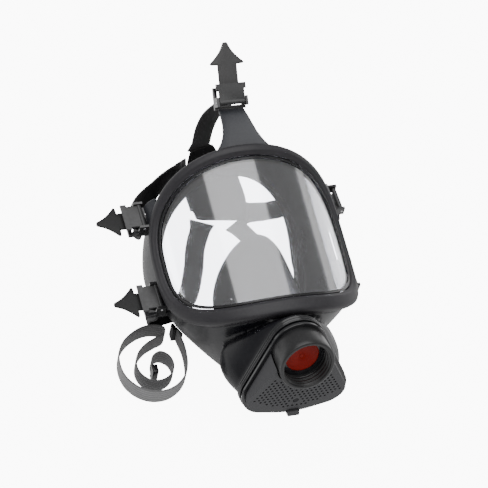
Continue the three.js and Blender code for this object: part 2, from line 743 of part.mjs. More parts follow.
const toTable = (x, y, z) => vec(x, y, z).applyMatrix4(mask.matrixWorld);
const TOP_TAIL = vec(0, 41.6, 34.8).normalize();
const BUCKLES = {
  top: { at: toTable(0, -92, 213), pin: vec(1, 0, 0), tail: TOP_TAIL, tailLength: 31 },
  temple_right: { at: toTable(-96, -18, 132), pin: vec(0, 1, 0), tail: vec(-1, 0, 0), tailLength: 17.5 },
  temple_left: { at: toTable(95, -20, 128), pin: vec(0, -1, 0), tail: vec(0, 0, -1), tailLength: 24 },
  cheek_right: { at: toTable(-97, -14, 50), pin: vec(0, 1, 0), tail: vec(-1, 0, 0), tailLength: 16 },
  cheek_left: { at: toTable(91, -12, 50), pin: vec(0, -1, 0), tail: vec(0, 0, -1), tailLength: 18 },
};

for (const [name, place] of Object.entries(BUCKLES)) {
  const matrix = buckleFrame(place);
  add(table, `buckle_frame_${name}`, makeBuckleFrame().applyMatrix4(matrix), STEEL);
  add(table, `buckle_lever_${name}`, makeBuckleLever().applyMatrix4(matrix), STEEL);
  add(table, `buckle_pin_${name}`, makeBucklePin().applyMatrix4(matrix), STEEL);
}

// ---------------------------------------------------------------- lugs on the rim
// Rows are [x, y, z, width direction x, y, z, half width] in the mask's frame.
const LUG_ROWS = {
  top: [
    [0, -93, 156, 1, 0, 0, 24],
    [0, -95, 165, 1, 0, 0, 19],
    [0, -94.5, 182, 1, 0, 0, 14.5],
    [0, -88.2, 202, 1, 0, 0, 13],
  ],
  temple_right: [
    [-77, -38, 132, 0, 0, 1, 13],
    [-82.5, -32, 132, 0, 0, 1, 13],
    [-85.6, -24.5, 132, 0, 0, 1, 12],
  ],
  temple_left: [
    [78, -38, 128, 0, 0, 1, 13],
    [87, -38, 128, 0, 0, 1, 13],
    [93.5, -33.6, 128, 0, 0, 1, 12],
  ],
  cheek_right: [
    [-80, -22, 50, 0, 0, 1, 13],
    [-84, -22, 50, 0, 0, 1, 13],
    [-87, -19.5, 50, 0, 0, 1, 12],
  ],
  cheek_left: [
    [79, -24, 50, 0, 0, 1, 13],
    [85, -27, 50, 0, 0, 1, 13],
    [89.1, -26.1, 50, 0, 0, 1, 12],
  ],
};
const LUG_THICKNESS = 4;
for (const [name, rows] of Object.entries(LUG_ROWS)) {
  const lug = solid(ribbon(stationsThrough(rows, 6), LUG_THICKNESS)).subtract(envelope);
  add(mask, `lug_${name}`, shape(lug), RUBBER);
}

// ---------------------------------------------------------------- head harness
// Rows are [x, y, z, width direction x, y, z, half width] in the table's frame.
const PLATE_ROWS = [
  [-13, 203, 89, 0.97, 0, -0.25, 12],
  [-9, 195, 70, 0.93, -0.1, -0.35, 20],
  [-2, 183, 52, 0.92, -0.1, -0.38, 31],
  [3, 168, 38, 0.95, 0, -0.3, 33],
  [2, 155, 31, 0.98, 0, -0.2, 25],
];
const STRAP_ROWS = {
  top: [
    [-13.6, 205, 92.5, 0.97, 0, -0.25, 9.6],
    [-12, 207, 114, 1, 0, -0.1, 9.6],
    [-8, 206, 134, 1, 0, 0, 9.6],
  ],
  temple_right: [
    [-34.5, 190, 70, 0, 0.7, 0.7, 11],
    [-46, 183, 79, 0.2, 0.15, 0.95, 10],
    [-65, 172, 72, 0.2, 0.4, 0.85, 9.6],
    [-84, 158, 62, 0.1, 0.7, 0.6, 9.6],
    [-93, 142, 62, 0, 0.95, 0.3, 9.6],
  ],
  temple_left: [
    [37.5, 163, 27, 0, 1, 0.1, 11],
    [52, 158, 33, 0.1, 0.95, 0.2, 10],
    [73, 162, 30, 0.1, 0.95, 0.2, 9.6],
    [91, 151, 40, 0, 0.97, 0.2, 9.6],
    [93.5, 136, 52, 0, 1, 0, 9.6],
  ],
  cheek_right: [
    [-21, 146, 30, 0.89, -0.45, 0, 10],
    [-29, 130, 24, 0.92, -0.38, 0, 9.6],
    [-35, 110, 16, 0.9, -0.4, 0, 9.6],
    [-46, 86, 7, 0.75, -0.66, 0, 9.6],
    [-58, 75, 2.6, 0.4, -0.92, 0, 9.6],
    [-68, 72, 1.9, 0.1, -1, 0, 9.6],
    [-80, 70, 2.4, 0, -1, 0, 9.6],
    [-91, 68, 9, 0, -1, 0, 9.6],
    [-94.5, 61, 26, 0, -1, 0, 9.6],
  ],
  cheek_left: [
    [22, 146, 24, 0.85, 0.5, 0, 10],
    [34, 128, 20, 0.87, 0.5, 0, 9.6],
    [44, 108, 12, 0.9, 0.4, 0, 9.6],
    [51, 88, 6, 0.85, 0.5, 0, 9.6],
    [60, 76, 2.6, 0.45, 0.9, 0, 9.6],
    [70, 72, 1.9, 0.1, 1, 0, 9.6],
    [80, 70, 2.6, 0, 1, 0, 9.6],
    [88, 66, 10, 0, 1, 0, 9.6],
    [86.5, 56, 26, 0, 1, 0, 9.6],
  ],
};

/** The strap's last stretch in its buckle's frame, straight over the bar or turned round it. */
function buckleRows({ tail, tailLength }) {
  const straight = [[-3.4, -12], [-3, -5], [0, 0.6], [6, 3.8]];
  const turned = [[22, -5.2], [10, -4.6], [4, -4.3], [0.5, -2.6], [-1, 0.4], [1, 3.2], [6, 4]];
  return [...(tail.z === -1 ? turned : straight), [12, 4.1], [tailLength, 4.1]];
}

for (const [name, rows] of Object.entries(STRAP_ROWS)) {
  const place = BUCKLES[name];
  const matrix = buckleFrame(place);
  const lastAcross = vec(...rows.at(-1).slice(3, 6));
  const sign = Math.sign(place.pin.dot(lastAcross));
  const end = buckleRows(place).map(([y, z]) => {
    const at = vec(0, y, z).applyMatrix4(matrix);
    const side = place.pin.clone().multiplyScalar(sign);
    return [at.x, at.y, at.z, side.x, side.y, side.z, STRAP_HALF_WIDTH];
  });
  const all = [...rows, ...end];
  const stations = stationsThrough(all, (all.length - 1) * 3);
  const last = stations.at(-1);
  const arrow = arrowEnd(last.at, place.tail, last.across);
  add(table, `strap_${name}`, ribbon([...stations, ...arrow], STRAP_THICKNESS), RUBBER);
}
add(table, 'harness_plate', ribbon(stationsThrough(PLATE_ROWS, 10), RUBBER_WALL), RUBBER);

// ---------------------------------------------------------------- neck strap, lying on the table
const NECK_STRAP_ROUTE = [
  [-68.5, 42], [-67.5, 34], [-66.5, 25], [-67, 14], [-69, 3], [-74, -8], [-83, -16.5], [-94, -21],
  [-107, -20.5], [-119, -14], [-128, -2], [-131, 12], [-129, 26], [-122, 38], [-111, 46.5], [-99, 51],
  [-88, 50.5], [-80.5, 46.5], [-82.5, 40.5], [-92, 36.5], [-103, 31], [-112, 22], [-116, 10],
  [-113.5, -1], [-106, -8.5], [-95.5, -9.5], [-86, -4], [-81.5, 6], [-84, 16], [-91.5, 21], [-99, 17],
  [-101, 8.5],
];

/** A flat strip on edge along a level route; the strip's low edge is at the given height. */
function standingStrip(route, low, steps) {
  const half = NECK_STRAP_WIDTH / 2;
  const edge = NECK_STRAP_THICKNESS / 2;
  const curve = new THREE.CatmullRomCurve3(route.map(([x, y]) => vec(x, y, low + half)));
  const section = new THREE.Shape([
    new THREE.Vector2(-half, -edge * 0.5),
    new THREE.Vector2(-half + 0.6, -edge),
    new THREE.Vector2(half - 0.6, -edge),
    new THREE.Vector2(half, -edge * 0.5),
    new THREE.Vector2(half, edge * 0.5),
    new THREE.Vector2(half - 0.6, edge),
    new THREE.Vector2(-half + 0.6, edge),
    new THREE.Vector2(-half, edge * 0.5),
  ]);
  return new THREE.ExtrudeGeometry(section, { steps, extrudePath: curve, bevelEnabled: false });
}

/** The tab on the cheek that holds the neck strap's end. */
function makeNeckStrapLug() {
  const tab = solid(block([-73, 42.3, 1], [-62, 50, 19.5]));
  return shape(tab.subtract(solid(shape(envelope), mask.matrixWorld)));
}

add(table, 'neck_strap_lug', makeNeckStrapLug(), RUBBER);
add(table, 'neck_strap', standingStrip(NECK_STRAP_ROUTE, GAP, 70), WEBBING);
const [endX, endY] = NECK_STRAP_ROUTE.at(-1);
const eyelet = block([endX - 1.5, endY - 9, 2 * GAP], [endX + 4, endY - 0.5, NECK_STRAP_WIDTH]);
add(table, 'neck_strap_eyelet', eyelet, PLASTIC);

// ---------------------------------------------------------------- the whole respirator
const CORD_NODES = ['neck_strap', 'neck_strap_eyelet'];
const respirator = new THREE.Group();
respirator.add(mask, table);
respirator.updateMatrixWorld(true);

// The origin goes on the table, below the middle of the respirator without its loose neck strap.
const extent = new THREE.Box3();
respirator.traverse((part) => {
  if (part.isMesh && !CORD_NODES.includes(part.name)) {
    extent.expandByObject(part, true);
  }
});
const middle = extent.getCenter(vec(0, 0, 0));
respirator.position.set(-middle.x, -middle.y, -extent.min.z);

export default respirator;
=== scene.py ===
"""Looks of a full face respirator lying on its back: visor, rim, face blank, port, grille and harness.

Shapes are drawn in millimetres, either in the mask's own upright frame (x to the wearer's left, y
towards the face, z up along the visor) or about the port's axis, and are placed in metres round
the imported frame.
"""

import logging
import math
from dataclasses import dataclass, field
from enum import Enum
from typing import Callable, Sequence

import bmesh
import bpy
import numpy as np
from mathutils import Matrix, Vector


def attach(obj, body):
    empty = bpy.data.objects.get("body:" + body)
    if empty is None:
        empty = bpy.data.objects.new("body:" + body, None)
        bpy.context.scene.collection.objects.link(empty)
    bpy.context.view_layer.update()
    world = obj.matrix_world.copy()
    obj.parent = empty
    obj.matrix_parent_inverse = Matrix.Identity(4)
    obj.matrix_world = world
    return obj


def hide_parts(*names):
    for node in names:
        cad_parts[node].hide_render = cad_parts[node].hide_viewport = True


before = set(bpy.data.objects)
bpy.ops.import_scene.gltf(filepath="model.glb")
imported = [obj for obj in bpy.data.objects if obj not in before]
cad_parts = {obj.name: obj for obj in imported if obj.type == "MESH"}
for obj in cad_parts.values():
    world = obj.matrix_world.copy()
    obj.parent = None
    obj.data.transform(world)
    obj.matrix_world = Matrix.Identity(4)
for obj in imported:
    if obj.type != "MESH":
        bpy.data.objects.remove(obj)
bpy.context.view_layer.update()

LOG = logging.getLogger("respirator")
MM = 0.001
BODY = "mask"
FLOAT, COLOUR = "NodeSocketFloat", "NodeSocketColor"

Pair = tuple[float, float]
Triple = tuple[float, float, float]
Placing = Callable[[np.ndarray], np.ndarray]
Piece = bpy.types.Object
Node = bpy.types.Node
Tree = bpy.types.NodeTree
Socket = bpy.types.NodeSocket


# ------------------------------------------------------------------ frames and sizes
class Side(Enum):
    """The two sides of the mask, by the sign of x in the mask's frame."""

    RIGHT = -1
    LEFT = 1


@dataclass(frozen=True)
class MaskFrame:
    """Where the upright mask lies on the table.

    Attributes are in millimetres and degrees.
    """

    lie_back: float = -80.0
    rise: float = 40.84
    shift: Pair = (13.95, -68.802)
    port_centre: Triple = (0.0, -104.81, -68.8)
    port_tilt: float = 150.06

    def table(self, points: np.ndarray) -> np.ndarray:
        """Places points drawn on the table, before the shift, in metres."""
        return (points + np.array([self.shift[0], self.shift[1], 0.0])) * MM

    def laid(self, points: np.ndarray) -> np.ndarray:
        """Turns points of the upright mask onto the table, in millimetres."""
        turn = np.array(Matrix.Rotation(math.radians(self.lie_back), 3, "X"))
        return points @ turn.T + np.array([0.0, 0.0, self.rise])

    def mask(self, points: np.ndarray) -> np.ndarray:
        """Places points of the upright mask in metres."""
        return self.table(self.laid(points))

    def from_port(self, points: np.ndarray) -> np.ndarray:
        """Turns points about the port's axis into the upright mask's frame."""
        turn = np.array(Matrix.Rotation(math.radians(self.port_tilt), 3, "X"))
        return points @ turn.T + np.array(self.port_centre)

    def port(self, points: np.ndarray) -> np.ndarray:
        """Places points drawn about the port's axis in metres."""
        return self.mask(self.from_port(points))


FRAME = MaskFrame()


@dataclass(frozen=True)
class MaskSizes:
    """Driving dimensions of the mask, in millimetres."""

    visor_radius: float = 95.65
    visor_thickness: float = 2.5
    half_width: float = 108.9
    widest: float = 78.96
    above: float = 68.88
    exponent_above: float = 2.28
    exponent_below: float = 2.72
    rim_width: float = 11.0
    rim_chin_width: float = 15.0
    rim_front: float = 101.0
    rim_back: float = 89.6
    seal_half_width: float = 82.0
    seal_exponent_above: float = 2.7
    seal_exponent_below: float = 1.35
    seal_widest: float = 100.0
    seal_above: float = 81.0
    seal_below: float = 132.0
    forehead_lift: float = 90.0
    forehead_curve: float = 1.7
    cheek_lift: float = 4.6
    cheek_curve: float = 0.6
    skirt_inset: float = 1.5
    skirt_gap: float = 0.3
    skirt_bulge: float = 5.0
    middle_height: float = 82.0
    wall: float = 3.0
    port_radius: float = 25.0
    thread_radius: float = 20.25
    port_bore: float = 18.6
    housing_front: float = -24.0
    housing_back: float = -40.0
    steps: int = 176


SIZES = MaskSizes()


def loop_angles(count: int) -> np.ndarray:
    """Even angles round a full turn."""
    return np.arange(count) * (2 * math.pi / count)


def superellipse(
    angles: np.ndarray, half: float, above: float, below: float, n_above: float, n_below: float
) -> tuple[np.ndarray, np.ndarray]:
    """A superellipse with its own height and exponent above and below.

    Args:
        angles: angles round it.
        half: half its width.
        above: height above its widest line.
        below: height below it.
        n_above: exponent above.
        n_below: exponent below.

    Returns:
        Its x and height at each angle.
    """
    c, s = np.cos(angles), np.sin(angles)
    n = np.where(s >= 0, n_above, n_below)
    size = (np.abs(c) ** n + np.abs(s) ** n) ** (1 / n)
    return half * c / size, np.where(s >= 0, above, below) * s / size


def view_point(angles: np.ndarray, grow: np.ndarray | float, radius: float) -> np.ndarray:
    """Points outside the edge of the view by some distance, on a cylinder.

    Args:
        angles: angles round the view.
        grow: distance outside the edge.
        radius: radius of the cylinder.

    Returns:
        One point for each angle, in the mask's frame.
    """
    z = SIZES
    round_, height = superellipse(
        angles,
        z.half_width + grow,
        z.above + grow,
        z.widest + grow,
        z.exponent_above,
        z.exponent_below,
    )
    turn = round_ / z.visor_radius
    return np.stack([radius * np.sin(turn), -radius * np.cos(turn), z.widest + height], 1)


def rim_width(angles: np.ndarray) -> np.ndarray:
    """Width of the rim, which is wider at the chin."""
    low = np.maximum(0, -np.sin(angles)) ** 3
    return SIZES.rim_width + (SIZES.rim_chin_width - SIZES.rim_width) * low


def seal_point(angles: np.ndarray) -> np.ndarray:
    """Points on the rear edge of the face blank.

    Args:
        angles: angles round the face.

    Returns:
        One point for each angle, in the mask's frame.
    """
    z = SIZES
    s = np.sin(angles)
    x, height = superellipse(
        angles,
        z.seal_half_width,
        z.seal_above,
        z.seal_below,
        z.seal_exponent_above,
        z.seal_exponent_below,
    )
    up = z.seal_widest + height
    cheek = z.cheek_lift * np.sin(math.pi * np.clip(-s, 0, 1)) ** z.cheek_curve
    lift = np.where(s > 0, z.forehead_lift * np.abs(s) ** z.forehead_curve, cheek)
    tilt = math.radians(90 + FRAME.lie_back)
    y = (FRAME.rise + up * math.sin(tilt) - lift) / math.cos(tilt)
    return np.stack([x, y, up], 1)


def unit(vector: np.ndarray) -> np.ndarray:
    """A vector at length one."""
    return vector / np.linalg.norm(vector)


def outward(points: np.ndarray, height: float) -> np.ndarray:
    """Level directions from the mask's middle to points.

    Args:
        points: the points, in the mask's frame.
        height: height of the middle.

    Returns:
        One direction for each point, at length one.
    """
    away = points - np.array([0.0, 0.0, height])
    away[:, 1] = 0
    return away / np.linalg.norm(away, axis=1, keepdims=True)


def blank_point(angles: np.ndarray, station: float, outset: float = 0.0) -> np.ndarray:
    """Points on the face blank's skin.

    Args:
        angles: angles round the face.
        station: 0 behind the rim, 1 at the rear edge.
        outset: distance outside the outer skin.

    Returns:
        One point for each angle, in the mask's frame.
    """
    grow = rim_width(angles) - SIZES.skirt_inset + outset
    front = view_point(angles, grow, SIZES.rim_back - SIZES.skirt_gap)
    rear = seal_point(angles)
    away = outward(rear, SIZES.middle_height)
    rear = rear + away * outset
    bulge = SIZES.skirt_bulge * math.sin(math.pi * station)
    return front * (1 - station) + rear * station + away * bulge


# The bowed base counts only where the sine of the direction is below this.
BASE_SECTOR = -0.9
NEVER = -1e9


def housing_outline(grow: float, station: float, count: int = 144) -> np.ndarray:
    """The connector housing's outline, a triangle with round corners and a bowed base.

    Args:
        grow: distance outside the outline.
        station: place along the port's axis.
        count: number of points.

    Returns:
        A loop of points about the port's axis.
    """
    angles = loop_angles(count)
    c, s = np.cos(angles), np.sin(angles)
    corners = np.array([[0, 2, 26], [29, -44, 20], [-29, -44, 20], [0, 32, 100]], float)
    reach = corners[:, :1] * c + corners[:, 1:2] * s + corners[:, 2:]
    reach[3, s >= BASE_SECTOR] = NEVER
    best = corners[np.argmax(reach, axis=0)]
    x = best[:, 0] + (best[:, 2] + grow) * c
    y = best[:, 1] + (best[:, 2] + grow) * s
    return np.stack([x, y, np.full(count, station)], 1)


# ------------------------------------------------------------------ mesh helpers
def grid_faces(rows: int, width: int, wrap_rows: bool) -> list[tuple[int, ...]]:
    """Quads between rows of points that are closed along each row.

    Args:
        rows: number of rows.
        width: number of points in a row.
        wrap_rows: whether the last row joins the first.

    Returns:
        The faces.
    """
    faces = []
    for r in range(rows if wrap_rows else rows - 1):
        low, high = r * width, ((r + 1) % rows) * width
        for i in range(width):
            j = (i + 1) % width
            faces.append((low + i, low + j, high + j, high + i))
    return faces


def mesh_object(name: str, points: np.ndarray, faces: Sequence[Sequence[int]]) -> Piece:
    """Makes a mesh object with its faces turned outwards.

    Args:
        name: name of the piece.
        points: its points in metres.
        faces: its faces.

    Returns:
        The new object, linked to the scene.
    """
    mesh = bpy.data.meshes.new(name)
    mesh.from_pydata([tuple(map(float, p)) for p in points], [], [tuple(f) for f in faces])
    edit = bmesh.new()
    edit.from_mesh(mesh)
    bmesh.ops.recalc_face_normals(edit, faces=edit.faces)
    edit.to_mesh(mesh)
    edit.free()
    piece = bpy.data.objects.new(name, mesh)
    bpy.context.scene.collection.objects.link(piece)
    return piece


def ring_loft(name: str, sections: Sequence[np.ndarray], place: Placing) -> Piece:
    """A closed ring from the closed loops of each station round it.

    Args:
        name: name of the piece.
        sections: its sections, in a frame of their own.
        place: moves points of that frame to their place in metres.

    Returns:
        The new object.
    """
    faces = grid_faces(len(sections), len(sections[0]), True)
    return mesh_object(name, np.concatenate([place(s) for s in sections]), faces)


def tube_loft(name: str, loops: Sequence[np.ndarray], place: Placing) -> Piece:
    """A solid through closed loops, with a fan at each end.

    Args:
        name: name of the piece.
        loops: its loops, in a frame of their own.
        place: moves points of that frame to their place in metres.

    Returns:
        The new object.
    """
    loops = [place(loop) for loop in loops]
    width, count = len(loops[0]), len(loops)
    faces = grid_faces(count, width, False)
    points = loops + [loops[0].mean(0)[None], loops[-1].mean(0)[None]]
    for start, tip in ((0, count * width), ((count - 1) * width, count * width + 1)):
        faces += [(start + i, start + (i + 1) % width, tip) for i in range(width)]
    return mesh_object(name, np.concatenate(points), faces)


def turned(half: np.ndarray, angle: float) -> np.ndarray:
    """A half section of radii and stations, turned about the axis.

    Args:
        half: pairs of radius and station.
        angle: how far it is turned.

    Returns:
        The turned points.
    """
    radius, station = half[:, 0], half[:, 1]
    return np.stack([radius * math.cos(angle), radius * math.sin(angle), station], 1)


def lathe(name: str, profile: Sequence[Pair], steps: int = 96) -> Piece:
    """A ring about the port's axis from a closed half section.

    Args:
        name: name of the piece.
        profile: pairs of radius and station, away from the axis.
        steps: number of sides.

    Returns:
        The new object.
    """
    half = np.array(profile, float)
    return ring_loft(name, [turned(half, a) for a in loop_angles(steps)], FRAME.port)


def circle(radius: float, station: float, place: Pair = (0.0, 0.0), steps: int = 32) -> np.ndarray:
    """A level circle of points round an upright axis.

    Args:
        radius: its radius.
        station: its height along the axis.
        place: where the axis is.
        steps: number of points.

    Returns:
        The loop.
    """
    turn = loop_angles(steps)
    x, y = place[0] + radius * np.cos(turn), place[1] + radius * np.sin(turn)
    return np.stack([x, y, np.full(steps, station)], 1)


def round_bar(
    radius: float, low: float, high: float, place: Pair = (0.0, 0.0), steps: int = 32
) -> Piece:
    """A round bar along the port's axis, for cuts.

    Args:
        radius: its radius.
        low: station of its rear end.
        high: station of its front end.
        place: where its axis is.
        steps: number of sides.

    Returns:
        The bar.
    """
    return tube_loft("cutter", [circle(radius, at, place, steps) for at in (low, high)], FRAME.port)


def applied(piece: Piece) -> Piece:
    """Makes the result of the piece's modifiers its mesh.

    Args:
        piece: the piece.

    Returns:
        The same piece.
    """
    graph = bpy.context.evaluated_depsgraph_get()
    mesh = bpy.data.meshes.new_from_object(piece.evaluated_get(graph))
    old = piece.data
    piece.modifiers.clear()
    piece.data = mesh
    bpy.data.meshes.remove(old)
    return piece


def joined(pieces: Sequence[Piece]) -> Piece:
    """Joins pieces into the first of them.

    Args:
        pieces: the pieces.

    Returns:
        The first piece.
    """
    edit = bmesh.new()
    for piece in pieces:
        edit.from_mesh(piece.data)
    edit.to_mesh(pieces[0].data)
    edit.free()
    for piece in pieces[1:]:
        bpy.data.objects.remove(piece)
    return pieces[0]


def cut(piece: Piece, tool: Piece, how: str = "DIFFERENCE") -> Piece:
    """Cuts a piece with a tool, or keeps what they share, and removes the tool.

    Args:
        piece: the piece to cut.
        tool: the cutter.
        how: the Boolean operation.

    Returns:
        The same piece.
    """
    modifier = piece.modifiers.new("cut", "BOOLEAN")
    modifier.operation = how
    modifier.object = tool
    modifier.solver = "MANIFOLD"
    applied(piece)
    bpy.data.objects.remove(tool)
    return piece


def remeshed(piece: Piece, voxel: float, rounds: int) -> Piece:
    """Merges a piece's shells on an even grid and smooths the result.

    Args:
        piece: the piece, made of closed shells.
        voxel: grid size in metres.
        rounds: how often it is smoothed.

    Returns:
        The same piece.
    """
    remesh = piece.modifiers.new("remesh", "REMESH")
    remesh.mode = "VOXEL"
    remesh.voxel_size = voxel
    smooth = piece.modifiers.new("smooth", "SMOOTH")
    smooth.factor = 0.5
    smooth.iterations = rounds
    return applied(piece)


def rounded(piece: Piece, width: float, segments: int = 3) -> Piece:
    """Rounds a piece's hard edges by a width in millimetres.

    Args:
        piece: the piece.
        width: width of the rounding.
        segments: how finely it is rounded.

    Returns:
        The same piece.
    """
    bevel = piece.modifiers.new("edges", "BEVEL")
    bevel.width = width * MM
    bevel.segments = segments
    bevel.limit_method = "ANGLE"
    bevel.angle_limit = math.radians(35)
    bevel.use_clamp_overlap = True
    bevel.harden_normals = False
    return piece


def subdivided(piece: Piece, levels: int = 1) -> Piece:
    """Adds a subdivision surface.

    Args:
        piece: the piece.
        levels: how often it is divided.

    Returns:
        The same piece.
    """
    modifier = piece.modifiers.new("fine", "SUBSURF")
    modifier.levels = levels
    modifier.render_levels = levels
    return piece


def smooth_shaded(piece: Piece, sharp: float = 40.0) -> Piece:
    """Shades a piece smoothly up to an angle in degrees.

    Args:
        piece: the piece.
        sharp: angle past which an edge stays sharp.

    Returns:
        The same piece.
    """
    piece.data.shade_smooth()
    piece.data.set_sharp_from_angle(angle=math.radians(sharp))
    return piece


def copy_of_node(node: str, name: str) -> Piece:
    """A cleaned copy of a CAD node, with its flat faces whole again.

    Args:
        node: name of the CAD node.
        name: name of the piece.

    Returns:
        The new piece.
    """
    piece = bpy.data.objects.new(name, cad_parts[node].data.copy())
    bpy.context.scene.collection.objects.link(piece)
    edit = bmesh.new()
    edit.from_mesh(piece.data)
    bmesh.ops.remove_doubles(edit, verts=edit.verts, dist=2e-5)
    bmesh.ops.dissolve_limit(edit, angle_limit=math.radians(1), verts=edit.verts, edges=edit.edges)
    edit.to_mesh(piece.data)
    edit.free()
    piece.data.materials.clear()
    return piece


# ------------------------------------------------------------------ finishes
class Nodes:
    """A node tree with short calls for the nodes that the finishes use."""

    def __init__(self, tree: Tree) -> None:
        """Keeps the tree to add to."""
        self.tree = tree

    def add(self, kind: str, **settings: object) -> Node:
        """Adds a node and sets its properties.

        Args:
            kind: the node's type.
            settings: its properties.

        Returns:
            The node.
        """
        node = self.tree.nodes.new(kind)
        for key, value in settings.items():
            setattr(node, key, value)
        return node

    def feed(self, socket: Socket, value: object) -> None:
        """Links a socket to another, or sets its value.

        Args:
            socket: the input.
            value: a socket or a value.
        """
        if isinstance(value, Socket):
            self.tree.links.new(value, socket)
        else:
            socket.default_value = value

    def fill(self, node: Node, values: dict[str, object]) -> None:
        """Feeds or sets several inputs of a node.

        Args:
            node: the node.
            values: a socket or a value for each input.
        """
        for key, value in values.items():
            self.feed(node.inputs[key], value)

    def math(self, operation: str, *values: object, clamp: bool = False) -> Socket:
        """A maths node's result.

        Args:
            operation: the operation.
            values: sockets or values.
            clamp: whether it is clamped to 0 and 1.

        Returns:
            The result.
        """
        node = self.add("ShaderNodeMath", operation=operation, use_clamp=clamp)
        for socket, value in zip(node.inputs, values):
            self.feed(socket, value)
        return node.outputs[0]

    def mix(self, factor: object, low: object, high: object) -> Socket:
        """A mixed colour.

        Args:
            factor: share of the second colour.
            low: the first colour.
            high: the second colour.

        Returns:
            The colour.
        """
        node = self.add("ShaderNodeMix", data_type="RGBA")
        self.feed(node.inputs[0], factor)
        self.feed(node.inputs[6], low)
        self.feed(node.inputs[7], high)
        return node.outputs[2]

    def span(self, value: Socket, low: object, high: object, to: Pair) -> Socket:
        """A value moved from one span to another, and clamped.

        Args:
            value: the value.
            low: start of its span.
            high: end of its span.
            to: the new span.

        Returns:
            The result.
        """
        node = self.add("ShaderNodeMapRange")
        self.feed(node.inputs[0], value)
        self.feed(node.inputs[1], low)
        self.feed(node.inputs[2], high)
        self.feed(node.inputs[3], to[0])
        self.feed(node.inputs[4], to[1])
        return node.outputs[0]

    def noise(self, scale: object, detail: float = 4.0, place: Socket | None = None) -> Socket:
        """Noise over the object's own coordinates.

        Args:
            scale: how fine it is.
            detail: how many finer layers it has.
            place: coordinates other than the object's.

        Returns:
            The noise, about 0 to 1.
        """
        node = self.add("ShaderNodeTexNoise")
        where = place or self.add("ShaderNodeTexCoord").outputs["Object"]
        self.fill(node, {"Scale": scale, "Detail": detail, "Vector": where})
        return node.outputs[0]

    def bump(self, height: Socket, depth: float) -> Socket:
        """A normal that follows a height whose full span is a depth in millimetres.

        Args:
            height: the height.
            depth: its depth in millimetres.

        Returns:
            The normal.
        """
        node = self.add("ShaderNodeBump")
        self.fill(node, {"Distance": depth * MM, "Strength": 1.0, "Height": height})
        return node.outputs[0]


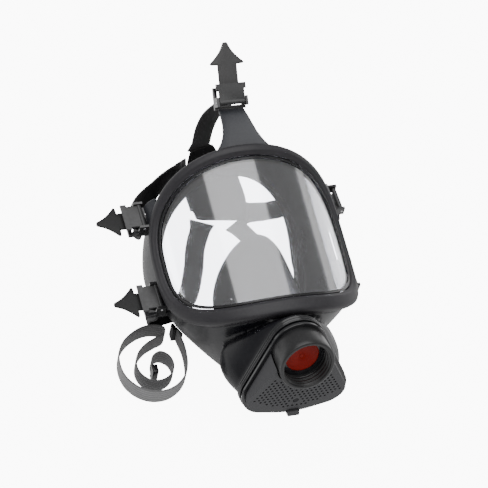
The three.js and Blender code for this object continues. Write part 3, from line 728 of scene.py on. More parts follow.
class Effects:
    """Shared effects, each a node group that is built once."""

    _built: dict[str, Tree] = {}

    @classmethod
    def group(
        cls,
        name: str,
        inputs: dict[str, tuple[str, object]],
        outputs: dict[str, str],
        build: Callable[[Nodes, Node], dict[str, Socket]],
    ) -> Tree:
        """Builds a group, or returns the one that was built before.

        Args:
            name: name of the effect.
            inputs: kind of socket and value for each input.
            outputs: kind of socket for each output.
            build: makes the nodes and returns the socket for each output.

        Returns:
            The node group.
        """
        if name in cls._built:
            return cls._built[name]
        tree = bpy.data.node_groups.new(name, "ShaderNodeTree")
        for key, (kind, value) in inputs.items():
            socket = tree.interface.new_socket(name=key, in_out="INPUT", socket_type=kind)
            socket.default_value = value
        for key, kind in outputs.items():
            tree.interface.new_socket(name=key, in_out="OUTPUT", socket_type=kind)
        nodes = Nodes(tree)
        start = nodes.add("NodeGroupInput")
        end = nodes.add("NodeGroupOutput")
        for key, socket in build(nodes, start).items():
            tree.links.new(socket, end.inputs[key])
        cls._built[name] = tree
        return tree

    @classmethod
    def mottle(cls) -> Tree:
        """Slow and fine variation of a colour, and of how dull it is.

        Returns:
            The node group.
        """

        def build(n: Nodes, start: Node) -> dict[str, Socket]:
            """Makes the effect's nodes.

            Args:
                n: the group's nodes.
                start: the group's inputs.

            Returns:
                The socket for each output.
            """
            slow = n.noise(start.outputs["Scale"], 3.0)
            fine = n.noise(n.math("MULTIPLY", start.outputs["Scale"], 9.0), 5.0)
            both = n.math("ADD", n.math("MULTIPLY", slow, 0.65), n.math("MULTIPLY", fine, 0.35))
            mask = n.span(both, 0.35, 0.65, (0.0, 1.0))
            amount = start.outputs["Amount"]
            dark = n.mix(amount, start.outputs["Color"], BLACK)
            light = n.mix(n.math("MULTIPLY", amount, 0.04), start.outputs["Color"], WHITE)
            return {"Color": n.mix(mask, dark, light), "Mask": mask}

        return cls.group(
            "mottled_colour",
            {
                "Color": (COLOUR, (0.5, 0.5, 0.5, 1.0)),
                "Scale": (FLOAT, 30.0),
                "Amount": (FLOAT, 0.2),
            },
            {"Color": COLOUR, "Mask": FLOAT},
            build,
        )

    @classmethod
    def grain(cls) -> Tree:
        """Fine grain of a moulded surface, with a few scuffs.

        Returns:
            The node group.
        """

        def build(n: Nodes, start: Node) -> dict[str, Socket]:
            """Makes the effect's nodes.

            Args:
                n: the group's nodes.
                start: the group's inputs.

            Returns:
                The socket for each output.
            """
            grain = n.noise(start.outputs["Scale"], 6.0)
            where = n.add("ShaderNodeTexCoord").outputs["Object"]
            stretch = n.add("ShaderNodeMapping")
            stretch.inputs["Scale"].default_value = (1.0, 9.0, 2.0)
            n.tree.links.new(where, stretch.inputs["Vector"])
            scuff = n.noise(60.0, 8.0, stretch.outputs[0])
            scuffs = n.span(scuff, 0.62, 0.7, (0.0, 1.0))
            height = n.math("SUBTRACT", grain, n.math("MULTIPLY", scuffs, start.outputs["Scuffs"]))
            return {"Height": height, "Scuffs": n.math("MULTIPLY", scuffs, start.outputs["Scuffs"])}

        return cls.group(
            "moulded_grain",
            {"Scale": (FLOAT, 2500.0), "Scuffs": (FLOAT, 0.2)},
            {"Height": FLOAT, "Scuffs": FLOAT},
            build,
        )

    @classmethod
    def edge_wear(cls) -> Tree:
        """A mask of handled edges, broken up by noise.

        Returns:
            The node group.
        """

        def build(n: Nodes, start: Node) -> dict[str, Socket]:
            """Makes the effect's nodes.

            Args:
                n: the group's nodes.
                start: the group's inputs.

            Returns:
                The socket for each output.
            """
            sharp = n.add("ShaderNodeNewGeometry").outputs["Pointiness"]
            edges = n.span(sharp, 0.54, 0.64, (0.0, 1.0))
            broken = n.span(n.noise(180.0, 6.0), 0.35, 0.7, (0.0, 1.0))
            mask = n.math("MULTIPLY", n.math("MULTIPLY", edges, broken), start.outputs["Amount"])
            return {"Mask": mask}

        return cls.group(
            "edge_wear",
            {"Amount": (FLOAT, 0.5)},
            {"Mask": FLOAT},
            build,
        )

    @classmethod
    def dust(cls) -> Tree:
        """A mask of fine dust on faces that look up.

        Returns:
            The node group.
        """

        def build(n: Nodes, start: Node) -> dict[str, Socket]:
            """Makes the effect's nodes.

            Args:
                n: the group's nodes.
                start: the group's inputs.

            Returns:
                The socket for each output.
            """
            split = n.add("ShaderNodeSeparateXYZ")
            n.tree.links.new(n.add("ShaderNodeNewGeometry").outputs["Normal"], split.inputs[0])
            up = n.span(split.outputs[2], 0.3, 1.0, (0.0, 1.0))
            specks = n.span(n.noise(420.0, 7.0), 0.45, 0.75, (0.0, 1.0))
            return {"Mask": n.math("MULTIPLY", n.math("MULTIPLY", up, specks), start.outputs["Amount"])}

        return cls.group(
            "settled_dust",
            {"Amount": (FLOAT, 0.1)},
            {"Mask": FLOAT},
            build,
        )

    @classmethod
    def weave(cls) -> Tree:
        """Narrow webbing: lengthwise cords with a twill over them, and dark selvedges.

        Returns:
            The node group.
        """

        def build(n: Nodes, start: Node) -> dict[str, Socket]:
            """Makes the effect's nodes.

            Args:
                n: the group's nodes.
                start: the group's inputs.

            Returns:
                The socket for each output.
            """
            lay = n.add("ShaderNodeAttribute", attribute_name="lay").outputs["Vector"]
            split = n.add("ShaderNodeSeparateXYZ")
            n.tree.links.new(lay, split.inputs[0])
            along, across = split.outputs[0], split.outputs[1]
            cords = n.math("SINE", n.math("MULTIPLY", across, 6 * math.pi))
            lines = n.math("ADD", n.math("MULTIPLY", cords, 0.5), 0.5)
            turn = n.math("ADD", n.math("MULTIPLY", along, 4200.0), n.math("MULTIPLY", across, 24.0))
            twill = n.math("ADD", n.math("MULTIPLY", n.math("SINE", turn), 0.5), 0.5)
            edge = n.span(n.math("ABSOLUTE", across), 0.78, 0.9, (0.0, 1.0))
            height = n.math("ADD", n.math("MULTIPLY", lines, 0.7), n.math("MULTIPLY", twill, 0.3))
            return {"Lines": lines, "Edge": edge, "Height": height}

        return cls.group(
            "webbing_weave",
            {},
            {"Lines": FLOAT, "Edge": FLOAT, "Height": FLOAT},
            build,
        )


BLACK = (0.0, 0.0, 0.0, 1.0)
WHITE = (1.0, 1.0, 1.0, 1.0)
DUST = (0.5, 0.49, 0.47, 1.0)


@dataclass(frozen=True)
class Finish:
    """A moulded or coated surface.

    Attributes:
        name: name of the material.
        slot: material slot of the record; not used.
        colour: linear base colour.
        roughness: how dull it is.
        metallic: 1 for bare metal.
        coat: weight of a clear gloss over it.
        coat_roughness: how dull that gloss is.
        specular: strength of the reflection.
        mottle: how much the colour varies.
        grain: depth of the grain in millimetres.
        grain_scale: how fine the grain is.
        scuffs: how scuffed it is.
        wear: how worn the edges are.
        worn: colour of a worn edge.
        dust: how dusty it is.
    """

    name: str
    slot: str
    colour: Triple
    roughness: float
    metallic: float = 0.0
    coat: float = 0.0
    coat_roughness: float = 0.12
    specular: float = 0.5
    mottle: float = 0.15
    grain: float = 0.02
    grain_scale: float = 2500.0
    scuffs: float = 0.2
    wear: float = 0.12
    worn: Triple = (0.16, 0.16, 0.17)
    dust: float = 0.012

    def place(self, n: Nodes, effect: Tree, **values: object) -> Node:
        """Places an effect in the material with its own values.

        Args:
            n: the material's nodes.
            effect: the node group.
            values: a socket or a value for each input.

        Returns:
            The placed group.
        """
        node = n.add("ShaderNodeGroup", node_tree=effect)
        n.fill(node, values)
        return node

    def shader(self) -> tuple[bpy.types.Material, Nodes, Node]:
        """Starts a material with its plain values set on the shader.

        Returns:
            The material, its nodes and its shader.
        """
        material = bpy.data.materials.new(self.name)
        material.use_nodes = True
        n = Nodes(material.node_tree)
        shader = material.node_tree.nodes["Principled BSDF"]
        plain = {
            "Metallic": self.metallic,
            "Specular IOR Level": self.specular,
            "Coat Weight": self.coat,
            "Coat Roughness": self.coat_roughness,
        }
        n.fill(shader, plain)
        return material, n, shader

    def material(self) -> bpy.types.Material:
        """The material, built once."""
        return bpy.data.materials.get(self.name) or self.build()

    def build(self) -> bpy.types.Material:
        """Builds the material.

        Returns:
            The new material.
        """
        material, n, shader = self.shader()
        colour = (*self.colour, 1.0)
        mottle = self.place(n, Effects.mottle(), Color=colour, Scale=28.0, Amount=self.mottle)
        wear = self.place(n, Effects.edge_wear(), Amount=self.wear)
        dust = self.place(n, Effects.dust(), Amount=self.dust)
        grain = self.place(n, Effects.grain(), Scale=self.grain_scale, Scuffs=self.scuffs)
        worn = n.mix(wear.outputs["Mask"], mottle.outputs["Color"], (*self.worn, 1.0))
        dusty = n.mix(dust.outputs["Mask"], worn, DUST)
        n.feed(shader.inputs["Base Color"], dusty)
        dull = n.math("MULTIPLY_ADD", mottle.outputs["Mask"], 0.08, self.roughness - 0.04)
        rough = n.math("ADD", dull, n.math("MULTIPLY", grain.outputs["Scuffs"], 0.3), clamp=True)
        n.feed(shader.inputs["Roughness"], rough)
        n.feed(shader.inputs["Normal"], n.bump(grain.outputs["Height"], self.grain))
        return material

    def dress(self, piece: Piece) -> Piece:
        """Gives a piece this finish.

        Args:
            piece: the piece.

        Returns:
            The same piece.
        """
        piece.data.materials.clear()
        piece.data.materials.append(self.material())
        return piece


@dataclass(frozen=True)
class VisorFinish(Finish):
    """Clear polycarbonate with a hard coat.

    Attributes:
        index: its index, lower than real polycarbonate's.
        coat_index: the coat's index, higher than any real coat's.
        coat_roughness: how dull the coat is.
        haze: how much the roughness varies.
    """

    index: float = 1.2
    coat_index: float = 2.3
    coat_roughness: float = 0.1
    haze: float = 0.02

    def build(self) -> bpy.types.Material:
        """Builds the clear material.

        Returns:
            The new material.
        """
        material, n, shader = self.shader()
        haze = n.span(n.noise(14.0, 5.0), 0.4, 0.8, (self.roughness, self.roughness + self.haze))
        clear = {
            "Base Color": (*self.colour, 1.0),
            "Transmission Weight": 1.0,
            "IOR": self.index,
            "Coat IOR": self.coat_index,
            "Roughness": haze,
        }
        n.fill(shader, clear)
        return material


@dataclass(frozen=True)
class WebbingFinish(Finish):
    """Woven webbing with lengthwise cords.

    Attributes:
        sheen: strength of the soft gloss of its fibres.
    """

    sheen: float = 0.3

    def build(self) -> bpy.types.Material:
        """Builds the woven material.

        Returns:
            The new material.
        """
        material, n, shader = self.shader()
        shader.inputs["Sheen Weight"].default_value = self.sheen
        weave = self.place(n, Effects.weave())
        mottle = self.place(n, Effects.mottle(), Color=(*self.colour, 1.0), Scale=60.0, Amount=self.mottle)
        dark = n.mix(0.35, mottle.outputs["Color"], BLACK)
        lined = n.mix(weave.outputs["Lines"], dark, mottle.outputs["Color"])
        n.feed(shader.inputs["Base Color"], n.mix(weave.outputs["Edge"], lined, dark))
        n.feed(shader.inputs["Roughness"], n.span(weave.outputs["Lines"], 0.0, 1.0, (0.85, 0.7)))
        n.feed(shader.inputs["Normal"], n.bump(weave.outputs["Height"], self.grain))
        return material


RIM_RUBBER = Finish("rim_rubber", "rubber", (0.022, 0.021, 0.025), 0.48, specular=0.42, grain=0.02)
BLANK_RUBBER = Finish("blank_rubber", "rubber", (0.005, 0.005, 0.008), 0.3, specular=0.26, grain=0.01)
LUG_RUBBER = Finish("lug_rubber", "rubber", (0.034, 0.036, 0.043), 0.42, grain=0.015)
STRAP_RUBBER = Finish("strap_rubber", "rubber", (0.009, 0.0088, 0.0096), 0.5, specular=0.3, grain=0.02)
# A lighter copy of the strap rubber for the top strap: its lighter colour is painted light from above, and
# its higher roughness is a matt face.
MATT_STRAP_PAINTED_LIGHT = Finish("matt_strap_rubber_painted_light", "rubber", (0.05, 0.049, 0.05), 0.6, grain=0.03)
SILICONE = Finish("cup_silicone", "silicone", (0.012, 0.012, 0.014), 0.42, dust=0.0)
GLOSS_BLACK = Finish("gloss_black", "black_plastic", (0.01, 0.01, 0.012), 0.2, coat=0.3, dust=0.02)
PORT_PLASTIC = Finish(
    "port_plastic", "black_plastic", (0.014, 0.014, 0.015), 0.32, grain=0.02, scuffs=0.3, wear=0.4
)
COVER_PLASTIC = Finish(
    "cover_plastic", "cover_plastic", (0.02, 0.018, 0.023), 0.45, specular=0.38, grain=0.04,
    grain_scale=1500.0, wear=0.3,
)
RED_SILICONE = Finish(
    "red_silicone", "red_valve", (0.3, 0.008, 0.002), 0.45, specular=0.2, worn=(0.5, 0.12, 0.08), dust=0.0,
    grain=0.01
)
BLACK_STEEL = Finish(
    "coated_steel", "buckle_metal", (0.012, 0.012, 0.013), 0.18, coat=0.4, wear=0.6, grain=0.008
)
BRIGHT_STEEL = Finish(
    "bright_steel", "bright_steel", (0.5, 0.5, 0.51), 0.3, metallic=1.0, wear=0.2, dust=0.0, grain=0.006
)
LEVER_STEEL = Finish(
    "lever_steel", "buckle_metal", (0.035, 0.035, 0.036), 0.35, wear=0.3, grain=0.015, scuffs=0.3
)
DARK_SCREW = Finish(
    "dark_screw", "bright_steel", (0.03, 0.03, 0.032), 0.45, metallic=1.0, dust=0.0, grain=0.006
)
VISOR_CLEAR = VisorFinish("visor_clear", "visor", (0.76, 0.77, 0.83), 0.012, coat=1.0)
WEBBING = WebbingFinish("grey_webbing", "webbing", (0.25, 0.25, 0.255), 0.8, grain=0.2)


def settle(
    piece: Piece, finish: Finish, *nodes: str, body: str = BODY, sharp: float = 40.0
) -> Piece:
    """Shades and dresses a piece, and sets it in the place of its CAD nodes.

    Args:
        piece: the finished mesh.
        finish: its finish.
        nodes: the CAD nodes that it stands for.
        body: the body that it rides on.
        sharp: angle in degrees past which an edge stays sharp.

    Returns:
        The same piece.
    """
    smooth_shaded(piece, sharp)
    finish.dress(piece)
    if nodes:
        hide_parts(*nodes)
    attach(piece, body)
    LOG.info("%s: %d faces", piece.name, len(piece.data.polygons))
    return piece


# ------------------------------------------------------------------ visor and rim
@dataclass
class VisorAssembly:
    """The clear visor in its moulded rim, with the bead that seals it."""

    tuck: float = 3.4
    gap: float = 0.3
    steps: int = SIZES.steps
    rings: int = 22
    bead_foot: Pair = (-4.2, -1.2)
    bead_crown: tuple[Pair, ...] = (
        (-4.1, 96.6), (-3.5, 97.0), (-2.9, 96.5), (-2.6, 96.6), (-2.0, 97.3), (-1.4, 96.8),
    )

    def visor(self) -> Piece:
        """The clear visor, a patch of a cylinder.

        Returns:
            The dressed piece.
        """
        angles = loop_angles(self.steps)
        edge = view_point(angles, self.tuck, 1.0)
        turn = np.arctan2(edge[:, 0], -edge[:, 1])
        height = edge[:, 2] - SIZES.widest
        loops = []
        shares = np.linspace(0.04, 1.0, self.rings) ** 0.8
        inner = SIZES.visor_radius - SIZES.visor_thickness
        for radius, order in ((SIZES.visor_radius, shares), (inner, shares[::-1])):
            for share in order:
                a = turn * share
                up = SIZES.widest + height * share
                loops.append(np.stack([radius * np.sin(a), -radius * np.cos(a), up], 1))
        return settle(tube_loft("visor", loops, FRAME.mask), VISOR_CLEAR, "visor_lens", sharp=60.0)

    def ring(self, name: str, corners: Sequence[tuple]) -> Piece:
        """A ring round the view, with its edges rounded.

        Args:
            name: name of the piece.
            corners: distance outside the view and radius of each corner of its section.

        Returns:
            The new piece.
        """
        angles = loop_angles(self.steps)
        loops = [view_point(angles, grow, radius) for grow, radius in corners]
        return subdivided(ring_loft(name, np.stack(loops, 1), FRAME.mask))

    def rim_section(self) -> list[tuple]:
        """Corners of the rim's section, as distance outside the view and radius.

        Returns:
            The corners.
        """
        out = rim_width(loop_angles(self.steps))
        front = SIZES.visor_radius + self.gap
        back = SIZES.visor_radius - SIZES.visor_thickness - self.gap
        crest = SIZES.rim_front
        return [
            (-1.0, front), (-0.9, 97.6), (0.2, 98.9), (1.4, 99.4), (2.4, crest + 0.1),
            (4.0, crest + 0.35), (out - 4.5, crest + 0.2), (out - 2.4, crest - 0.4),
            (out - 0.6, 99.0), (out, 97.2), (out, 92.5), (out - 0.8, 90.6),
            (out - 2.6, SIZES.rim_back), (0.8, SIZES.rim_back), (-1.0, 90.8), (-1.0, back),
            (self.tuck + 0.4, back), (self.tuck + 0.4, front),
        ]

    def rim(self) -> Piece:
        """The moulded rubber rim."""
        return settle(self.ring("rim", self.rim_section()), RIM_RUBBER, "visor_rim", sharp=70.0)

    def bead(self) -> Piece:
        """The glossy double bead between the rim and the visor.

        Returns:
            The dressed piece.
        """
        front = SIZES.visor_radius + self.gap
        corners = [(self.bead_foot[0], front), *self.bead_crown, (self.bead_foot[1], front)]
        piece = self.ring("visor_bead", corners)
        return settle(piece, GLOSS_BLACK, "lens_bead", sharp=70.0)

    def build(self) -> None:
        """Builds the three pieces."""
        self.visor()
        self.rim()
        self.bead()


# ------------------------------------------------------------------ face blank, seal and nose cup
@dataclass
class FacePiece:
    """The rubber face blank with its chin neck, the seal lip and the nose cup."""

    voxel: float = 0.0014
    rounds: int = 10
    neck_half: Pair = (54.0, 45.0)
    neck_place: Pair = (-34.0, -21.0)
    neck_tilt: float = 7.0
    neck_bulge: float = 3.5
    neck_wall: float = 3.2
    neck_overlap: Pair = (-1.5, -4.7)
    neck_front: Pair = (-27.0, -20.0)
    hollow_past_ends: Pair = (-25.0, 12.0)
    seal_from: float = 0.93
    seal_centre: float = 78.0
    seal_reach: float = 15.0
    seal_reach_chin: float = 10.0
    seal_gap: float = 0.7
    seal_curl: Pair = (3.2, 12.2)
    seal_root: float = 2.6
    seal_thinning: float = 1.2
    cup_steps: int = 96
    cup_gap: float = 1.5
    cup_front: float = 24.0
    cup_half: float = 42.0
    cup_wall: float = 2.0
    cup_edge: Pair = (-14.0, 34.0)
    cup_heights: Pair = (50.0, 30.0)
    cup_depths: Pair = (46.0, 20.0)
    cup_middle: float = -30.0
    cup_bulge: float = 3.0
    cup_brow: float = 4.0
    hole_ends: Pair = (-9.0, 9.0)
    check_radius: float = 8.3
    check_angle: float = 24.0
    check_part: float = 0.66
    check_away: Pair = (-0.35, 0.2)

    def neck_loops(self, grow: float, housing_grow: float, front: float) -> list[np.ndarray]:
        """Loops of the chin neck, from the housing to its root.

        Args:
            grow: distance outside the neck's root.
            housing_grow: distance outside the housing's outline.
            front: station of the neck's front end.

        Returns:
            Closed loops in the mask's frame.
        """
        count = 144
        a = loop_angles(count)

        def root(more: float, rise: float) -> np.ndarray:
            """A loop at the neck's root.

            Args:
                more: distance outside the root.
                rise: height above it.

            Returns:
                The loop.
            """
            x = (self.neck_half[0] + more) * np.cos(a)
            y = self.neck_place[0] - (self.neck_half[1] + more) * np.sin(a)
            return np.stack([x, y, self.neck_place[1] + self.neck_tilt * np.sin(a) + rise], 1)

        start = FRAME.from_port(housing_outline(housing_grow, front, count))
        shoulder = FRAME.from_port(housing_outline(housing_grow, SIZES.housing_back - 0.5, count))
        end = root(grow, 0)
        loops = [start, shoulder]
        for share in np.linspace(0.12, 0.88, 6):
            bulge = self.neck_bulge * math.sin(math.pi * share)
            between = shoulder * (1 - share) + end * share
            loops.append(between + np.stack([bulge * np.cos(a), 0 * a, 0 * a], 1))
        return [*loops, end, root(grow - 6, 9)]

    def skirt_loops(self, outset: float) -> list[np.ndarray]:
        """Loops of the skirt's skin, from the rim to the rear edge."""
        angles = loop_angles(SIZES.steps)
        return [blank_point(angles, k, outset) for k in np.linspace(0, 1, 12)]

    def blank(self) -> Piece:
        """The face blank, moulded in one with its chin neck.

        Returns:
            The dressed piece.
        """
        over, front = self.neck_overlap, self.neck_front
        skirt = tube_loft("face_blank_skin", self.skirt_loops(0), FRAME.mask)
        neck = tube_loft("neck", self.neck_loops(0, over[0], front[0]), FRAME.mask)
        outer = remeshed(joined([skirt, neck]), self.voxel, self.rounds)
        inside = self.skirt_loops(-SIZES.wall)
        before, behind = (np.array([0.0, y, 0.0]) for y in self.hollow_past_ends)
        inside = [inside[0] + before, *inside, inside[-1] + behind]
        hollow = tube_loft("hollow", inside, FRAME.mask)
        bore = self.neck_loops(-self.neck_wall, over[1], front[1])
        throat = tube_loft("throat", bore, FRAME.mask)
        piece = cut(outer, remeshed(joined([hollow, throat]), self.voxel, self.rounds))
        return settle(piece, BLANK_RUBBER, "face_blank")

    def seal(self) -> Piece:
        """The lip that turns in from the rear edge.

        Returns:
            The dressed piece.
        """
        angles = loop_angles(SIZES.steps)
        root = blank_point(angles, self.seal_from, -SIZES.wall - self.seal_gap)
        inward = -outward(root, self.seal_centre)
        s = np.sin(angles)
        less = self.seal_reach - self.seal_reach_chin
        reach = np.where(s > 0, self.seal_reach, self.seal_reach - less * np.abs(s))[:, None]
        shares = np.linspace(0, 1, 8)
        rise, fall = self.seal_curl
        drop = [np.array([0, rise * t - fall * t * t, 0]) for t in shares]
        top = [root + inward * reach * t + d for t, d in zip(shares, drop)]
        thick = [self.seal_root - self.seal_thinning * t for t in shares]
        under = [p - np.array([0, w, 0]) for p, w in zip(top, thick)]
        sections = np.stack([*top, *under[::-1]], 1)
        piece = ring_loft("face_seal", sections, FRAME.mask)
        return settle(subdivided(piece), BLANK_RUBBER, "face_seal_lip", sharp=70.0)

    def cup_point(self, a: np.ndarray, part: float, inset: float) -> np.ndarray:
        """Points of the nose cup's wall.

        Args:
            a: angles round it.
            part: 0 at its front, 1 at its rear edge.
            inset: distance inside the outer skin.

        Returns:
            One point for each angle, in the mask's frame.
        """
        c, s = np.cos(a), np.sin(a)
        r, base = self.cup_front, SIZES.housing_back - self.cup_gap
        front = np.stack([r * c, -r + r * s, np.full(len(a), base)], 1)
        front = FRAME.from_port(front)
        (edge, up), (nose, chin), (above, below) = self.cup_edge, self.cup_heights, self.cup_depths
        y = np.where(s > 0, edge - above * s * s, edge - below * s)
        rear = np.stack([self.cup_half * c, y, up + np.where(s > 0, nose, chin) * s], 1)
        point = front * (1 - part) + rear * part
        start = FRAME.from_port(np.array([[0.0, -r, base]]))[0]
        middle = start * (1 - part) + np.array([0.0, self.cup_middle, up]) * part
        wave = math.sin(math.pi * part)
        point[:, 1] -= np.maximum(0, s) * self.cup_brow * wave
        away = point - middle
        away /= np.linalg.norm(away, axis=1, keepdims=True)
        return point + away * (self.cup_bulge * wave - inset)

    def check_frame(self, side: Side) -> Matrix:
        """The frame of a check valve, with its axis along z, in metres.

        Args:
            side: which valve.

        Returns:
            The frame.
        """
        degrees = self.check_angle if side is Side.LEFT else 180 - self.check_angle
        place = self.cup_point(np.array([math.radians(degrees)]), self.check_part, 1.0)
        away = Vector((side.value, *self.check_away)).normalized()
        turn = Matrix.Rotation(math.radians(FRAME.lie_back), 3, "X")
        spin = Vector((0, 0, 1)).rotation_difference(turn @ away).to_matrix().to_4x4()
        return Matrix.Translation(Vector(FRAME.mask(place)[0])) @ spin

    def nose_cup(self) -> Piece:
        """The nose cup, with a rolled rear edge and a hole for each check valve.

        Returns:
            The dressed piece.
        """
        a = loop_angles(self.cup_steps)
        parts = np.linspace(0, 1, 14)
        outer = [self.cup_point(a, t, 0.0) for t in parts]
        inner = [self.cup_point(a, t, self.cup_wall) for t in parts[::-1]]
        sections = np.stack([*outer, *inner], 1)
        piece = ring_loft("nose_cup_shell", sections, FRAME.mask)
        for side in Side:
            ends = [circle(self.check_radius, station) for station in self.hole_ends]
            hole = tube_loft("hole", ends, lambda points: points * MM)
            hole.data.transform(self.check_frame(side))
            cut(piece, hole)
        return settle(piece, SILICONE, "nose_cup")

    def build(self) -> None:
        """Builds the three pieces."""
        self.blank()
        self.seal()
        self.nose_cup()


# ------------------------------------------------------------------ connector housing and port
@dataclass
class Connector:
    """The connector housing: flange, clamp band, threaded port, valves and perforated cover."""

    chambers: tuple[Pair, Pair] = ((-21.0, -43.0), (21.0, -43.0))
    chamber_radius: float = 14.8
    screw: Pair = (0.0, -52.0)
    screw_radius: float = 2.2
    screw_play: Pair = (0.3, 0.5)
    behind: float = -60.0
    ahead: float = -20.0
    past_cover: float = 20.0
    chamber_floor: float = -35.3
    chamber_step: float = 3.0
    flange: tuple[Pair, ...] = (
        (-6.0, -40.0), (-5.0, -39.2), (-5.0, -28.0), (-3.4, -27.4), (-0.4, -27.2), (0.1, -26.6),
        (0.1, -24.4), (-0.3, -24.0),
    )
    band_section: tuple[Pair, ...] = (
        (-1.2, -36.4), (0.5, -36.4), (0.9, -35.6), (0.5, -34.6), (-0.1, -34.1), (0.5, -33.6),
        (0.9, -32.6), (0.5, -31.6), (-0.1, -31.1), (0.5, -30.6), (0.9, -29.8), (0.5, -29.0),
        (-1.2, -29.0),
    )
    disc_profile: tuple[Pair, ...] = (
        (0.05, -15.1), (1.9, -15.1), (2.4, -15.6), (3.0, -15.9), (13.6, -15.9), (14.2, -15.5),
        (15.1, -15.4), (17.0, -15.9), (17.2, -16.3), (17.0, -16.9), (0.05, -16.9),
    )
    cover_skirt: tuple[Pair, ...] = ((-3.0, -23.7), (-2.8, -22.0), (-3.6, -18.0))
    cover_top: Pair = (-5.5, -8.5)
    cover_wall: float = 2.4
    cover_edge: float = 6.0
    port_play: float = 1.2
    slope: float = 16.5
    slope_foot: float = -10.0
    face_top: float = -7.0
    hole_radius: float = 1.12
    hole_pitch: float = 4.2
    row_share: float = 0.87
    first_row: float = -18.5
    rows: int = 13
    columns: int = 11
    field_base: float = -62.5
    base_bow: float = 4.0
    field_half: float = 41.5
    field_reach: float = 60.0
    field_slant: float = 42.0
    field_corner: Pair = (29.0, -44.0)
    corner_radius: float = 13.0
    port_clear: float = 4.0
    screw_clear: float = 5.4
    thread_pitch: float = 4.0
    thread_depth: float = 1.3
    thread_start: float = 0.9
    thread_end: float = 14.2

    def housing(self) -> Piece:
        """The housing with its bores.

        Returns:
            The dressed piece.
        """
        loops = [housing_outline(grow, at) for grow, at in self.flange]
        piece = tube_loft("housing", loops, FRAME.port)
        cut(piece, round_bar(SIZES.port_bore, self.behind, self.ahead, steps=64))
        for place in self.chambers:
            wide, narrow = self.chamber_radius, self.chamber_radius - self.chamber_step
            cut(piece, round_bar(wide, self.chamber_floor, self.ahead, place, 64))
            cut(piece, round_bar(narrow, self.behind, -30, place, 64))
        cut(piece, round_bar(self.screw_radius + self.screw_play[0], -31, self.ahead, self.screw))
        return settle(piece, GLOSS_BLACK, "connector_housing", sharp=30.0)

    def band(self) -> Piece:
        """The clamp band, with its ridges.

        Returns:
            The dressed piece.
        """
        loops = np.stack([housing_outline(grow, at) for grow, at in self.band_section], 1)
        piece = ring_loft("clamp_ring", loops, FRAME.port)
        return settle(subdivided(piece), GLOSS_BLACK, "clamp_band", sharp=70.0)

    def thread_radius(self, station: np.ndarray, turn: float) -> np.ndarray:
        """Inner radius of the port, with a round helical thread.

        Args:
            station: places along the axis, 0 at the lip.
            turn: angle round the axis.

        Returns:
            The radius at each place.
        """
        root = SIZES.thread_radius + self.thread_depth
        wave = np.sin(2 * math.pi * (station / self.thread_pitch) + turn)
        fade_in = np.clip((-station - self.thread_start) / 1.2, 0, 1)
        fade_out = np.clip((station + self.thread_end) / 1.5, 0, 1)
        return root - self.thread_depth * (fade_in * fade_out) * np.clip(wave * 0.8 + 0.5, 0, 1)

    def port(self) -> Piece:
        """The port tube, with its rounded lip and helical thread.

        Returns:
            The dressed piece.
        """
        inner = np.linspace(-0.6, -14.6, 70)
        end = SIZES.housing_front + 0.3
        outer = SIZES.port_radius
        sections = []
        for a in loop_angles(128):
            radius = self.thread_radius(inner, a)
            tail = [(outer - 0.1, end), (outer, end + 0.6), (outer, -6.0), (outer, -1.0)]
            lip = [(outer - 0.35, -0.3), (outer - 1.1, 0.0), (22.3, 0.0), (21.75, -0.2)]
            shelf = [(20.75, -15.0), (20.75, -15.9), (SIZES.port_bore, -15.9), (SIZES.port_bore, end)]
            half = np.array([*zip(radius, inner), *shelf, *tail, *lip])
            sections.append(turned(half, a))
        piece = ring_loft("threaded_port", sections, FRAME.port)
        return settle(piece, PORT_PLASTIC, "port_tube", sharp=50.0)

    def red_disc(self) -> Piece:
        """The inhalation disc, with a raised rim and a middle button.

        Returns:
            The dressed piece.
        """
        piece = lathe("red_valve_disc", self.disc_profile)
        return settle(piece, RED_SILICONE, "inhalation_disc", body="inhalation_flap", sharp=60.0)

    def ahead_of_face(self, wall: float) -> Piece:
        """Everything in front of the cover's sloping face, less a wall.

        Args:
            wall: distance behind the face.

        Returns:
            The cutter.
        """
        turn = np.array(Matrix.Rotation(math.radians(self.slope), 3, "X"))
        corners = np.array([[-90, -120], [90, -120], [90, 120], [-90, 120]], float)
        loops = []
        for height in (0.0, 120.0):
            flat = np.column_stack([corners, np.full(4, height)])
            loops.append(flat @ turn.T + np.array([0.0, self.slope_foot, self.face_top - wall]))
        return tube_loft("slab", loops, FRAME.port)

    def in_field(self, x: float, y: float) -> bool:
        """Whether the perforated field has room for a hole.

        Args:
            x: place across.
            y: place up.

        Returns:
            Whether it has.
        """
        corner_x, corner_y = self.field_corner
        over, up = abs(x) - corner_x, y - corner_y
        port = math.hypot(x, y) > SIZES.port_radius + self.port_clear
        screw = math.hypot(x - self.screw[0], y - self.screw[1]) > self.screw_clear
        side = abs(x) < self.field_half + (y + 20) * 0.02
        corner = math.hypot(over, up) < self.corner_radius or over < 0 or up > 0
        base = y > self.field_base + (x / 40) ** 2 * self.base_bow
        shoulder = math.hypot(x, y) < self.field_reach and abs(x) + 0.55 * up < self.field_slant
        return port and screw and side and corner and base and shoulder

    def holes(self) -> Piece:
        """All holes of the perforated field, as one cutter.

        Returns:
            The cutter.
        """
        pitch = self.hole_pitch
        bars = []
        for row in range(self.rows):
            y = self.first_row - row * pitch * self.row_share
            for column in range(-self.columns, self.columns + 1):
                x = (column + (row % 2) / 2) * pitch
                if self.in_field(x, y):
                    bars.append(round_bar(self.hole_radius, -30, 10, (x, y), 10))
        return joined(bars)

